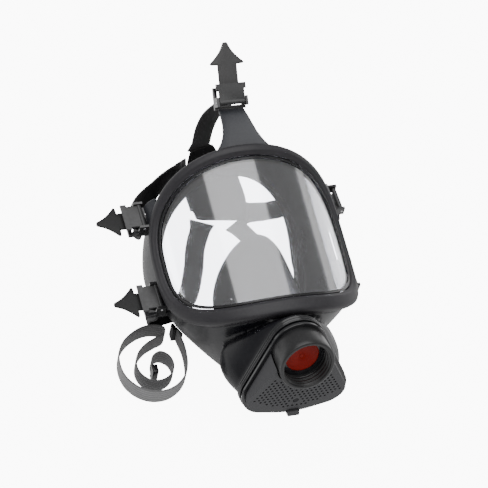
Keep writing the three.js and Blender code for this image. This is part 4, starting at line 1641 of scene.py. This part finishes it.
    def cover(self) -> Piece:
        """The perforated cover, cut out round the port.

        Returns:
            The dressed piece.
        """
        top = self.face_top + 4
        sides = [*self.cover_skirt, (self.cover_top[0], top)]
        piece = tube_loft("vent_cover", [housing_outline(g, s) for g, s in sides], FRAME.port)
        cut(piece, self.ahead_of_face(0.0))
        hollow = [housing_outline(g, s) for g, s in ((-6.0, -28.0), (self.cover_top[1], top))]
        inside = tube_loft("inside", hollow, FRAME.port)
        cut(inside, self.ahead_of_face(self.cover_wall))
        cut(piece, inside)
        low, high, half = self.cover_edge, self.field_reach, 70.0
        box = np.array([[-half, low], [half, low], [half, high], [-half, high]])
        loops = [np.column_stack([box, np.full(4, z)]) for z in (-60.0, 30.0)]
        cut(piece, tube_loft("block", loops, FRAME.port))
        cut(piece, round_bar(SIZES.port_radius + self.port_play, self.behind, self.past_cover, steps=96))
        screw_hole = self.screw_radius + self.screw_play[1]
        cut(piece, round_bar(screw_hole, self.behind, self.past_cover, self.screw))
        cut(piece, self.holes())
        rounded(piece, 0.3, 2)
        return settle(piece, COVER_PLASTIC, "grille_cover", sharp=40.0)

    def build(self) -> None:
        """Builds the housing and what it carries, and dresses the inner nodes."""
        self.housing()
        self.band()
        self.port()
        self.red_disc()
        self.cover()
        latch = rounded(copy_of_node("cover_latch", "latch"), 0.5)
        settle(latch, COVER_PLASTIC, "cover_latch")
        inner = {
            "inhalation_valve_seat": GLOSS_BLACK,
            "inhalation_valve_spider": GLOSS_BLACK,
            "exhalation_valve_seat": GLOSS_BLACK,
            "exhalation_disc": SILICONE,
            "speech_diaphragm": BRIGHT_STEEL,
            "diaphragm_ring": GLOSS_BLACK,
            "cover_screw": DARK_SCREW,
            "check_valve_seat_right": GLOSS_BLACK,
            "check_valve_disc_right": SILICONE,
            "check_valve_seat_left": GLOSS_BLACK,
            "check_valve_disc_left": SILICONE,
        }
        for node, finish in inner.items():
            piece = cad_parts[node]
            piece.data.materials.clear()
            piece.data.materials.append(finish.material())


# ------------------------------------------------------------------ straps
def catmull_rom(points: np.ndarray, place: float) -> np.ndarray:
    """A point on the centripetal Catmull-Rom curve through points.

    Args:
        points: the control points.
        place: from 0 at the first to 1 at the last.

    Returns:
        The point.
    """
    last = len(points) - 1
    at = place * last
    low = min(int(at), last - 1)
    w = at - low
    p1, p2 = points[low], points[low + 1]
    p0 = points[low - 1] if low > 0 else 2 * points[0] - points[1]
    p3 = points[low + 2] if low + 2 <= last else 2 * points[last] - points[last - 1]
    d0, d1, d2 = (math.sqrt(np.linalg.norm(b - a)) for a, b in ((p0, p1), (p1, p2), (p2, p3)))
    t1 = ((p1 - p0) / d0 - (p2 - p0) / (d0 + d1) + (p2 - p1) / d1) * d1
    t2 = ((p2 - p1) / d1 - (p3 - p1) / (d1 + d2) + (p3 - p2) / d2) * d1
    return p1 + t1 * w + (-3 * p1 + 3 * p2 - 2 * t1 - t2) * w**2 + (2 * p1 - 2 * p2 + t1 + t2) * w**3


@dataclass
class Station:
    """One section of a strap: its middle, width direction and half width, in millimetres."""

    at: np.ndarray
    across: np.ndarray
    half: float
    tooth: float = 0.0


def stations_through(rows: Sequence[Sequence[float]], per_row: int = 10) -> list[Station]:
    """Stations on a smooth curve through rows of place, width direction and half width.

    Args:
        rows: the rows.
        per_row: stations from one row to the next.

    Returns:
        The stations.
    """
    table = np.array(rows, float)
    steps = (len(table) - 1) * per_row
    out = []
    for i in range(steps + 1):
        place = i / steps * (len(table) - 1)
        low = min(int(place), len(table) - 2)
        mixed = table[low] * (1 - place + low) + table[low + 1] * (place - low)
        out.append(Station(catmull_rom(table[:, :3], i / steps), mixed[3:6], mixed[6]))
    return out


@dataclass
class Ribbon:
    """A moulded flat strip with rounded edges.

    Attributes:
        thickness: its thickness in millimetres.
        lip: how far its two edges stand proud of its upper face.
        teeth: depth of the grip ribs across its lower face.
    """

    thickness: float
    lip: float = 0.0
    teeth: float = 0.0
    rib_pitch: float = 3.2

    def section(self, station: Station, tooth: float) -> list[Pair]:
        """Corners of the section, across and up, in millimetres.

        Args:
            station: the station.
            tooth: how far its lower face is raised.

        Returns:
            The corners.
        """
        h, t = station.half, self.thickness / 2
        r = min(t * 0.9, h * 0.6)
        bed = -t + tooth
        if self.lip == 0:
            top = [(h - r, t), (h * 0.3, t), (-h * 0.3, t), (-h + r, t)]
        else:
            edge = min(2.4, h * 0.3)
            top = [(h - r, t + self.lip), (h - edge, t), (-h + edge, t), (-h + r, t + self.lip)]
        return [
            (-h + r, bed), (-h * 0.3, bed), (h * 0.3, bed), (h - r, bed), (h - r * 0.3, -t * 0.7),
            (h, 0.0), (h - r * 0.3, t * 0.7 + self.lip * 0.6),
            *top,
            (-h + r * 0.3, t * 0.7 + self.lip * 0.6), (-h, 0.0), (-h + r * 0.3, -t * 0.7),
        ]

    def loops(self, stations: Sequence[Station]) -> list[np.ndarray]:
        """The closed loop of each station, in millimetres.

        Args:
            stations: the stations.

        Returns:
            One loop for each station.
        """
        out, run = [], 0.0
        for i, station in enumerate(stations):
            before = stations[max(0, i - 1)].at
            after = stations[min(len(stations) - 1, i + 1)].at
            run += float(np.linalg.norm(station.at - before))
            along = unit(after - before)
            side = unit(station.across - along * float(station.across @ along))
            up = np.cross(side, along)
            rib = self.teeth * station.tooth * (0.5 + 0.5 * math.cos(2 * math.pi * run / self.rib_pitch))
            corners = self.section(station, rib)
            out.append(np.array([station.at + side * s + up * t for s, t in corners]))
        return out


@dataclass(frozen=True)
class BucklePlace:
    """Where a buckle sits and how its strap leaves it.

    Attributes:
        at: middle of the frame, in the upright mask's frame.
        pin: direction of the pin on the table.
        tail: direction of the strap's end on the table.
        tail_length: distance to the arrow's root.
    """

    at: Triple
    pin: Triple
    tail: Triple
    tail_length: float

    def frame(self) -> tuple[np.ndarray, np.ndarray]:
        """The buckle's origin and its axes as rows, on the table in millimetres.

        Returns:
            The origin and the axes.
        """
        pin = np.array(self.pin)
        out = unit(np.cross(pin, unit(np.array(self.tail))))
        origin = FRAME.laid(np.array([self.at]))[0]
        return origin, np.array([pin, np.cross(out, pin), out])


BUCKLES = {
    "top": BucklePlace((0, -92, 213), (1, 0, 0), (0, 41.6, 34.8), 31),
    "temple_right": BucklePlace((-96, -18, 132), (0, 1, 0), (-1, 0, 0), 17.5),
    "temple_left": BucklePlace((95, -20, 128), (0, -1, 0), (0, 0, -1), 24),
    "cheek_right": BucklePlace((-97, -14, 50), (0, 1, 0), (-1, 0, 0), 16),
    "cheek_left": BucklePlace((91, -12, 50), (0, -1, 0), (0, 0, -1), 18),
}


@dataclass
class Harness:
    """The rubber head harness: five straps, a crown plate, five lugs and their buckles.

    Routes, plate and lugs hold rows of a place, a width direction and a half width. The strips
    of the lugs and the plate are given as thickness and lip.
    """

    half: float = 9.6
    thickness: float = 2.4
    teeth: float = 0.5
    toothed_share: float = 0.72
    straight_end: tuple[Pair, ...] = ((-3.4, -12.0), (-3.0, -5.0), (0.0, 0.6), (6.0, 3.8))
    turned_end: tuple[Pair, ...] = (
        (22.0, -5.2), (10.0, -4.6), (4.0, -4.3), (0.5, -2.6), (-1.0, 0.4), (1.0, 3.2), (6.0, 4.0),
    )
    past_bar: Pair = (12.0, 4.1)
    lug_strip: Pair = (4.0, 0.9)
    plate_strip: Pair = (3.0, 0.5)
    root: float = 9.0
    root_flare: float = 2.5
    arrow: tuple[Pair, ...] = (
        (0.3, 15.4), (0.8, 16.4), (1.8, 16.6), (3.0, 15.6), (5.0, 13.2), (8.0, 10.2), (11.0, 7.6),
        (14.0, 5.5), (17.0, 3.9), (19.4, 2.9), (20.6, 2.2), (21.0, 1.4),
    )
    routes: dict = field(default_factory=lambda: {
        "top": [
            [-13.6, 205, 92.5, 0.97, 0, -0.25, 9.6], [-12, 207, 114, 1, 0, -0.1, 9.6],
            [-8, 206, 134, 1, 0, 0, 9.6],
        ],
        "temple_right": [
            [-34.5, 190, 70, 0, 0.7, 0.7, 11], [-46, 183, 79, 0.2, 0.15, 0.95, 10],
            [-65, 172, 72, 0.2, 0.4, 0.85, 9.6], [-84, 158, 62, 0.1, 0.7, 0.6, 9.6],
            [-93, 142, 62, 0, 0.95, 0.3, 9.6],
        ],
        "temple_left": [
            [37.5, 163, 27, 0, 1, 0.1, 11], [52, 158, 33, 0.1, 0.95, 0.2, 10],
            [73, 162, 30, 0.1, 0.95, 0.2, 9.6], [91, 151, 40, 0, 0.97, 0.2, 9.6],
            [93.5, 136, 52, 0, 1, 0, 9.6],
        ],
        "cheek_right": [
            [-21, 146, 30, 0.89, -0.45, 0, 10], [-29, 130, 24, 0.92, -0.38, 0, 9.6],
            [-35, 110, 16, 0.9, -0.4, 0, 9.6], [-46, 86, 7, 0.75, -0.66, 0, 9.6],
            [-58, 75, 2.6, 0.4, -0.92, 0, 9.6], [-68, 72, 1.9, 0.1, -1, 0, 9.6],
            [-80, 70, 2.4, 0, -1, 0, 9.6], [-91, 68, 9, 0, -1, 0, 9.6],
            [-94.5, 61, 26, 0, -1, 0, 9.6],
        ],
        "cheek_left": [
            [22, 146, 24, 0.85, 0.5, 0, 10], [34, 128, 20, 0.87, 0.5, 0, 9.6],
            [44, 108, 12, 0.9, 0.4, 0, 9.6], [51, 88, 6, 0.85, 0.5, 0, 9.6],
            [60, 76, 2.6, 0.45, 0.9, 0, 9.6], [70, 72, 1.9, 0.1, 1, 0, 9.6],
            [80, 70, 2.6, 0, 1, 0, 9.6], [88, 66, 10, 0, 1, 0, 9.6], [86.5, 56, 26, 0, 1, 0, 9.6],
        ],
    })
    plate: tuple = (
        (-13, 203, 89, 0.97, 0, -0.25, 12), (-9, 195, 70, 0.93, -0.1, -0.35, 20),
        (-2, 183, 52, 0.92, -0.1, -0.38, 31), (3, 168, 38, 0.95, 0, -0.3, 33),
        (2, 155, 31, 0.98, 0, -0.2, 25),
    )
    lugs: dict = field(default_factory=lambda: {
        "top": [
            [0, -92.5, 153, 1, 0, 0, 31], [0, -93.8, 158, 1, 0, 0, 25],
            [0, -95, 164, 1, 0, 0, 20.5], [0, -95.3, 172, 1, 0, 0, 17],
            [0, -94.5, 182, 1, 0, 0, 14.8], [0, -91.8, 193, 1, 0, 0, 13.4],
            [0, -88.2, 202, 1, 0, 0, 12.6],
        ],
        "temple_right": [
            [-77, -38, 132, 0, 0, 1, 13], [-82.5, -32, 132, 0, 0, 1, 13],
            [-85.6, -24.5, 132, 0, 0, 1, 12],
        ],
        "temple_left": [
            [78, -38, 128, 0, 0, 1, 13], [87, -38, 128, 0, 0, 1, 13],
            [93.5, -33.6, 128, 0, 0, 1, 12],
        ],
        "cheek_right": [
            [-80, -22, 50, 0, 0, 1, 13], [-84, -22, 50, 0, 0, 1, 13], [-87, -19.5, 50, 0, 0, 1, 12],
        ],
        "cheek_left": [
            [79, -24, 50, 0, 0, 1, 13], [85, -27, 50, 0, 0, 1, 13], [89.1, -26.1, 50, 0, 0, 1, 12],
        ],
    })

    def end_rows(self, place: BucklePlace, across: np.ndarray) -> list[list[float]]:
        """The strap's rows in its buckle, straight over the bar or turned round it.

        Args:
            place: where the buckle is.
            across: the strap's width direction before it.

        Returns:
            The rows.
        """
        rows = self.turned_end if place.tail[2] == -1 else self.straight_end
        origin, axes = place.frame()
        side = axes[0] * math.copysign(1.0, float(axes[0] @ across))
        out = []
        for y, z in [*rows, self.past_bar, (place.tail_length, self.past_bar[1])]:
            at = origin + axes[1] * y + axes[2] * z
            out.append([*at, *side, self.half])
        return out

    def root_row(self, rows: Sequence[Sequence[float]]) -> list[float]:
        """A row that runs the strap's root on into the crown plate, a little wider.

        Args:
            rows: the strap's own rows.

        Returns:
            The new first row.
        """
        first, second = np.array(rows[0], float), np.array(rows[1], float)
        back = unit(first[:3] - second[:3])
        return [*(first[:3] + back * self.root), *first[3:6], first[6] + self.root_flare]

    def strap(self, name: str) -> Piece:
        """One strap with its arrow end.

        Args:
            name: the strap's place.

        Returns:
            The dressed piece.
        """
        rows = [self.root_row(self.routes[name]), *self.routes[name]]
        place = BUCKLES[name]
        rows = [*rows, *self.end_rows(place, np.array(rows[-1][3:6]))]
        stations = stations_through(rows)
        last = stations[-1]
        count = len(stations)
        for i, station in enumerate(stations):
            station.tooth = 1.0 if i < count * self.toothed_share else 0.0
        tail = unit(np.array(place.tail, float))
        barbs = [Station(last.at + tail * d, last.across, half) for d, half in self.arrow]
        loops = Ribbon(self.thickness, teeth=self.teeth).loops([*stations, *barbs])
        piece = tube_loft(f"harness_strap_{name}", loops, FRAME.table)
        # The top strap takes the lighter copy of the strap rubber, whose lighter colour is painted light.
        finish = MATT_STRAP_PAINTED_LIGHT if name == "top" else STRAP_RUBBER
        return settle(piece, finish, f"strap_{name}", sharp=50.0)

    def lug(self, name: str) -> Piece:
        """One lug, moulded with proud edges and widening into the rim.

        Args:
            name: the lug's place.

        Returns:
            The dressed piece.
        """
        loops = Ribbon(*self.lug_strip).loops(stations_through(self.lugs[name], 6))
        piece = tube_loft(f"rim_lug_{name}", loops, FRAME.mask)
        return settle(subdivided(piece), LUG_RUBBER, f"lug_{name}", sharp=60.0)

    def buckle(self, name: str) -> None:
        """The buckle's frame, lever and pin, with rounded edges.

        Args:
            name: the buckle's place.
        """
        parts = (
            ("frame", 0.9, BLACK_STEEL, BODY),
            ("lever", 0.5, LEVER_STEEL, f"lever_{name}"),
            ("pin", 0.25, BRIGHT_STEEL, BODY),
        )
        for part, width, finish, body in parts:
            node = f"buckle_{part}_{name}"
            piece = rounded(copy_of_node(node, f"{name}_buckle_{part}"), width)
            settle(piece, finish, node, body=body)

    def crown(self) -> Piece:
        """The plate where the straps meet at the back of the head.

        Returns:
            The dressed piece.
        """
        loops = Ribbon(*self.plate_strip).loops(stations_through(self.plate, 8))
        piece = tube_loft("crown_plate", loops, FRAME.table)
        return settle(subdivided(piece), STRAP_RUBBER, "harness_plate", sharp=60.0)

    def build(self) -> None:
        """Builds the whole harness."""
        for name in BUCKLES:
            self.strap(name)
            self.lug(name)
            self.buckle(name)
        self.crown()


# ------------------------------------------------------------------ neck strap
@dataclass
class NeckStrap:
    """The woven neck strap that stands on its edge on the table, with its tab and eyelet."""

    width: float = 20.0
    thickness: float = 1.6
    rise: float = 0.3
    length: float = 0.354
    steps: int = 640
    cords: int = 17
    edge_curve: int = 8
    thinnest: float = 0.05
    route: tuple[Pair, ...] = (
        (-68.5, 42), (-67.5, 34), (-66.5, 25), (-67, 14), (-69, 3), (-74, -8), (-83, -16.5),
        (-94, -21), (-107, -20.5), (-119, -14), (-128, -2), (-131, 12), (-129, 26), (-122, 38),
        (-111, 46.5), (-99, 51), (-88, 50.5), (-80.5, 46.5), (-82.5, 40.5), (-92, 36.5),
        (-103, 31), (-112, 22), (-116, 10), (-113.5, -1), (-106, -8.5), (-95.5, -9.5),
        (-86, -4), (-81.5, 6), (-84, 16), (-91.5, 21), (-99, 17), (-101, 8.5),
    )

    def path(self) -> np.ndarray:
        """Points along the middle of the strap, in millimetres on the table."""
        points = np.array([(x, y, self.rise + self.width / 2) for x, y in self.route], float)
        return np.array([catmull_rom(points, t) for t in np.linspace(0, 1, self.steps)])

    def webbing(self) -> Piece:
        """The woven strap.

        Returns:
            The dressed piece.
        """
        path = self.path()
        across = np.array([0.0, 0.0, 1.0])
        half = self.width / 2
        edge = self.thickness / 2
        heights = np.linspace(-half, half, self.cords)
        loops, lay, run = [], [], 0.0
        for i, at in enumerate(path):
            before, after = path[max(0, i - 1)], path[min(len(path) - 1, i + 1)]
            run += float(np.linalg.norm(at - before)) * MM
            along = unit(after - before)
            out = np.cross(along, across)
            taper = np.sqrt(np.clip(1 - (heights / half) ** self.edge_curve, self.thinnest, 1)) * edge
            front = [at + across * h + out * t for h, t in zip(heights, taper)]
            back = [at + across * h - out * t for h, t in zip(heights[::-1], taper[::-1])]
            loops.append(np.array([*front, *back]))
            shares = [*heights / half, *heights[::-1] / half]
            lay += [(run, share, 0.0) for share in shares]
        piece = tube_loft("woven_neck_strap", loops, FRAME.table)
        lay += [(0.0, 0.0, 0.0), (run, 0.0, 0.0)]
        layer = piece.data.attributes.new("lay", "FLOAT_VECTOR", "POINT")
        layer.data.foreach_set("vector", np.array(lay, np.float32).ravel())
        settle(piece, WEBBING, "neck_strap")
        centres = FRAME.table(path)
        tuple(centres[0])
        [tuple(p) for p in centres]
        self.eyelet()
        return piece

    def eyelet(self) -> Piece:
        """The moulded eyelet on the strap's free end."""
        piece = rounded(copy_of_node("neck_strap_eyelet", "strap_eyelet"), 1.2, 4)
        return settle(piece, GLOSS_BLACK, "neck_strap_eyelet")

    def tab(self) -> Piece:
        """The rubber tab on the cheek that holds the strap."""
        piece = rounded(copy_of_node("neck_strap_lug", "strap_tab"), 1.0)
        return settle(piece, STRAP_RUBBER, "neck_strap_lug")

    def build(self) -> None:
        """Builds the strap and its two fittings."""
        self.webbing()
        self.tab()


# ------------------------------------------------------------------ studio
@dataclass
class Studio:
    """A pale table, soft light and the camera."""

    place: Triple = (-0.42285, -0.82230, 1.25470)
    right: Triple = (0.94985, -0.26784, 0.16138)
    up: Triple = (0.11847, 0.78585, 0.60697)
    back: Triple = (-0.28939, -0.55741, 0.77817)
    lens: float = 118.03
    glow: float = 0.35
    seen_glow: float = 9.0
    air_glow: float = 0.42
    key_at: Triple = (-0.12, 0.3, 1.7)
    key_size: Pair = (1.75, 3.2)
    key_power: float = 34.0
    side_at: Triple = (2.1, 0.3, 0.4)
    side_size: Pair = (0.4, 2.6)
    side_power: float = 4.0
    side_aim: Triple = (0.0, 0.0, 0.08)
    table_half: float = 4.0

    def camera(self) -> None:
        """The camera, which looks down on the mask from its right."""
        data = bpy.data.cameras.new("camera")
        data.lens = self.lens
        data.sensor_width = 36.0
        camera = bpy.data.objects.new("camera", data)
        turn = Matrix((self.right, self.up, self.back)).transposed().to_4x4()
        camera.matrix_world = Matrix.Translation(self.place) @ turn
        bpy.context.scene.collection.objects.link(camera)
        bpy.context.scene.camera = camera

    def panel(self, name: str, at: Triple, aim: Triple, size: Pair, power: float) -> None:
        """A soft panel light, with its long side along the visor.

        Args:
            name: name of the light.
            at: its place in metres.
            aim: the point that it faces.
            size: its width and height in metres.
            power: its power in watts.
        """
        data = bpy.data.lights.new(name, "AREA")
        data.shape = "RECTANGLE"
        data.size, data.size_y = size
        data.energy = power
        light = bpy.data.objects.new(name, data)
        light.location = at
        away = Vector(aim) - Vector(at)
        light.rotation_euler = (0.0, math.atan2(-away.x, -away.z), 0.0)
        bpy.context.scene.collection.objects.link(light)

    def seen_brighter(self, n: Nodes, strength: float, through_visor: bool) -> Socket:
        """A strength that is higher where it is seen.

        Args:
            n: the tree to add to.
            strength: how strongly it lights the mask.
            through_visor: whether it is also brighter through the visor.

        Returns:
            The strength's socket.
        """
        ray = n.add("ShaderNodeLightPath")
        seen = ray.outputs["Is Camera Ray"]
        if through_visor:
            seen = n.math("MAXIMUM", seen, ray.outputs["Is Transmission Ray"])
        return n.math("MULTIPLY_ADD", seen, self.seen_glow, strength)

    def table(self) -> None:
        """A pale table that glows faintly, as a light table does."""
        size = self.table_half
        corners = np.array([[-size, -size, 0], [size, -size, 0], [size, size, 0], [-size, size, 0]])
        top = mesh_object("table_top", corners, [(0, 1, 2, 3)])
        material = bpy.data.materials.new("pale_table")
        material.use_nodes = True
        shader = material.node_tree.nodes["Principled BSDF"]
        n = Nodes(material.node_tree)
        pale = {
            "Base Color": (0.8, 0.8, 0.8, 1.0),
            "Roughness": 0.9,
            "Specular IOR Level": 0.0,
            "Emission Color": WHITE,
            "Emission Strength": self.seen_brighter(n, self.glow, True),
        }
        n.fill(shader, pale)
        top.data.materials.append(material)

    def light(self) -> None:
        """White surroundings and soft panels."""
        world = bpy.data.worlds.new("studio")
        world.use_nodes = True
        background = world.node_tree.nodes["Background"]
        background.inputs[0].default_value = WHITE
        n = Nodes(world.node_tree)
        n.feed(background.inputs[1], self.seen_brighter(n, self.air_glow, False))
        bpy.context.scene.world = world
        below_key = (self.key_at[0], self.key_at[1], 0.0)
        self.panel("key", self.key_at, below_key, self.key_size, self.key_power)
        self.panel("right", self.side_at, self.side_aim, self.side_size, self.side_power)

    def build(self) -> None:
        """Makes the camera first, then the table and the lights."""
        self.camera()
        self.table()
        self.light()


def main() -> None:
    """Builds the respirator and its studio."""
    logging.basicConfig(level=logging.INFO, format="%(name)s %(message)s")
    for assembly in (Studio(), NeckStrap(), VisorAssembly(), FacePiece(), Connector(), Harness()):
        LOG.info("building %s", type(assembly).__name__)
        assembly.build()


if __name__ == "__main__":
    main()
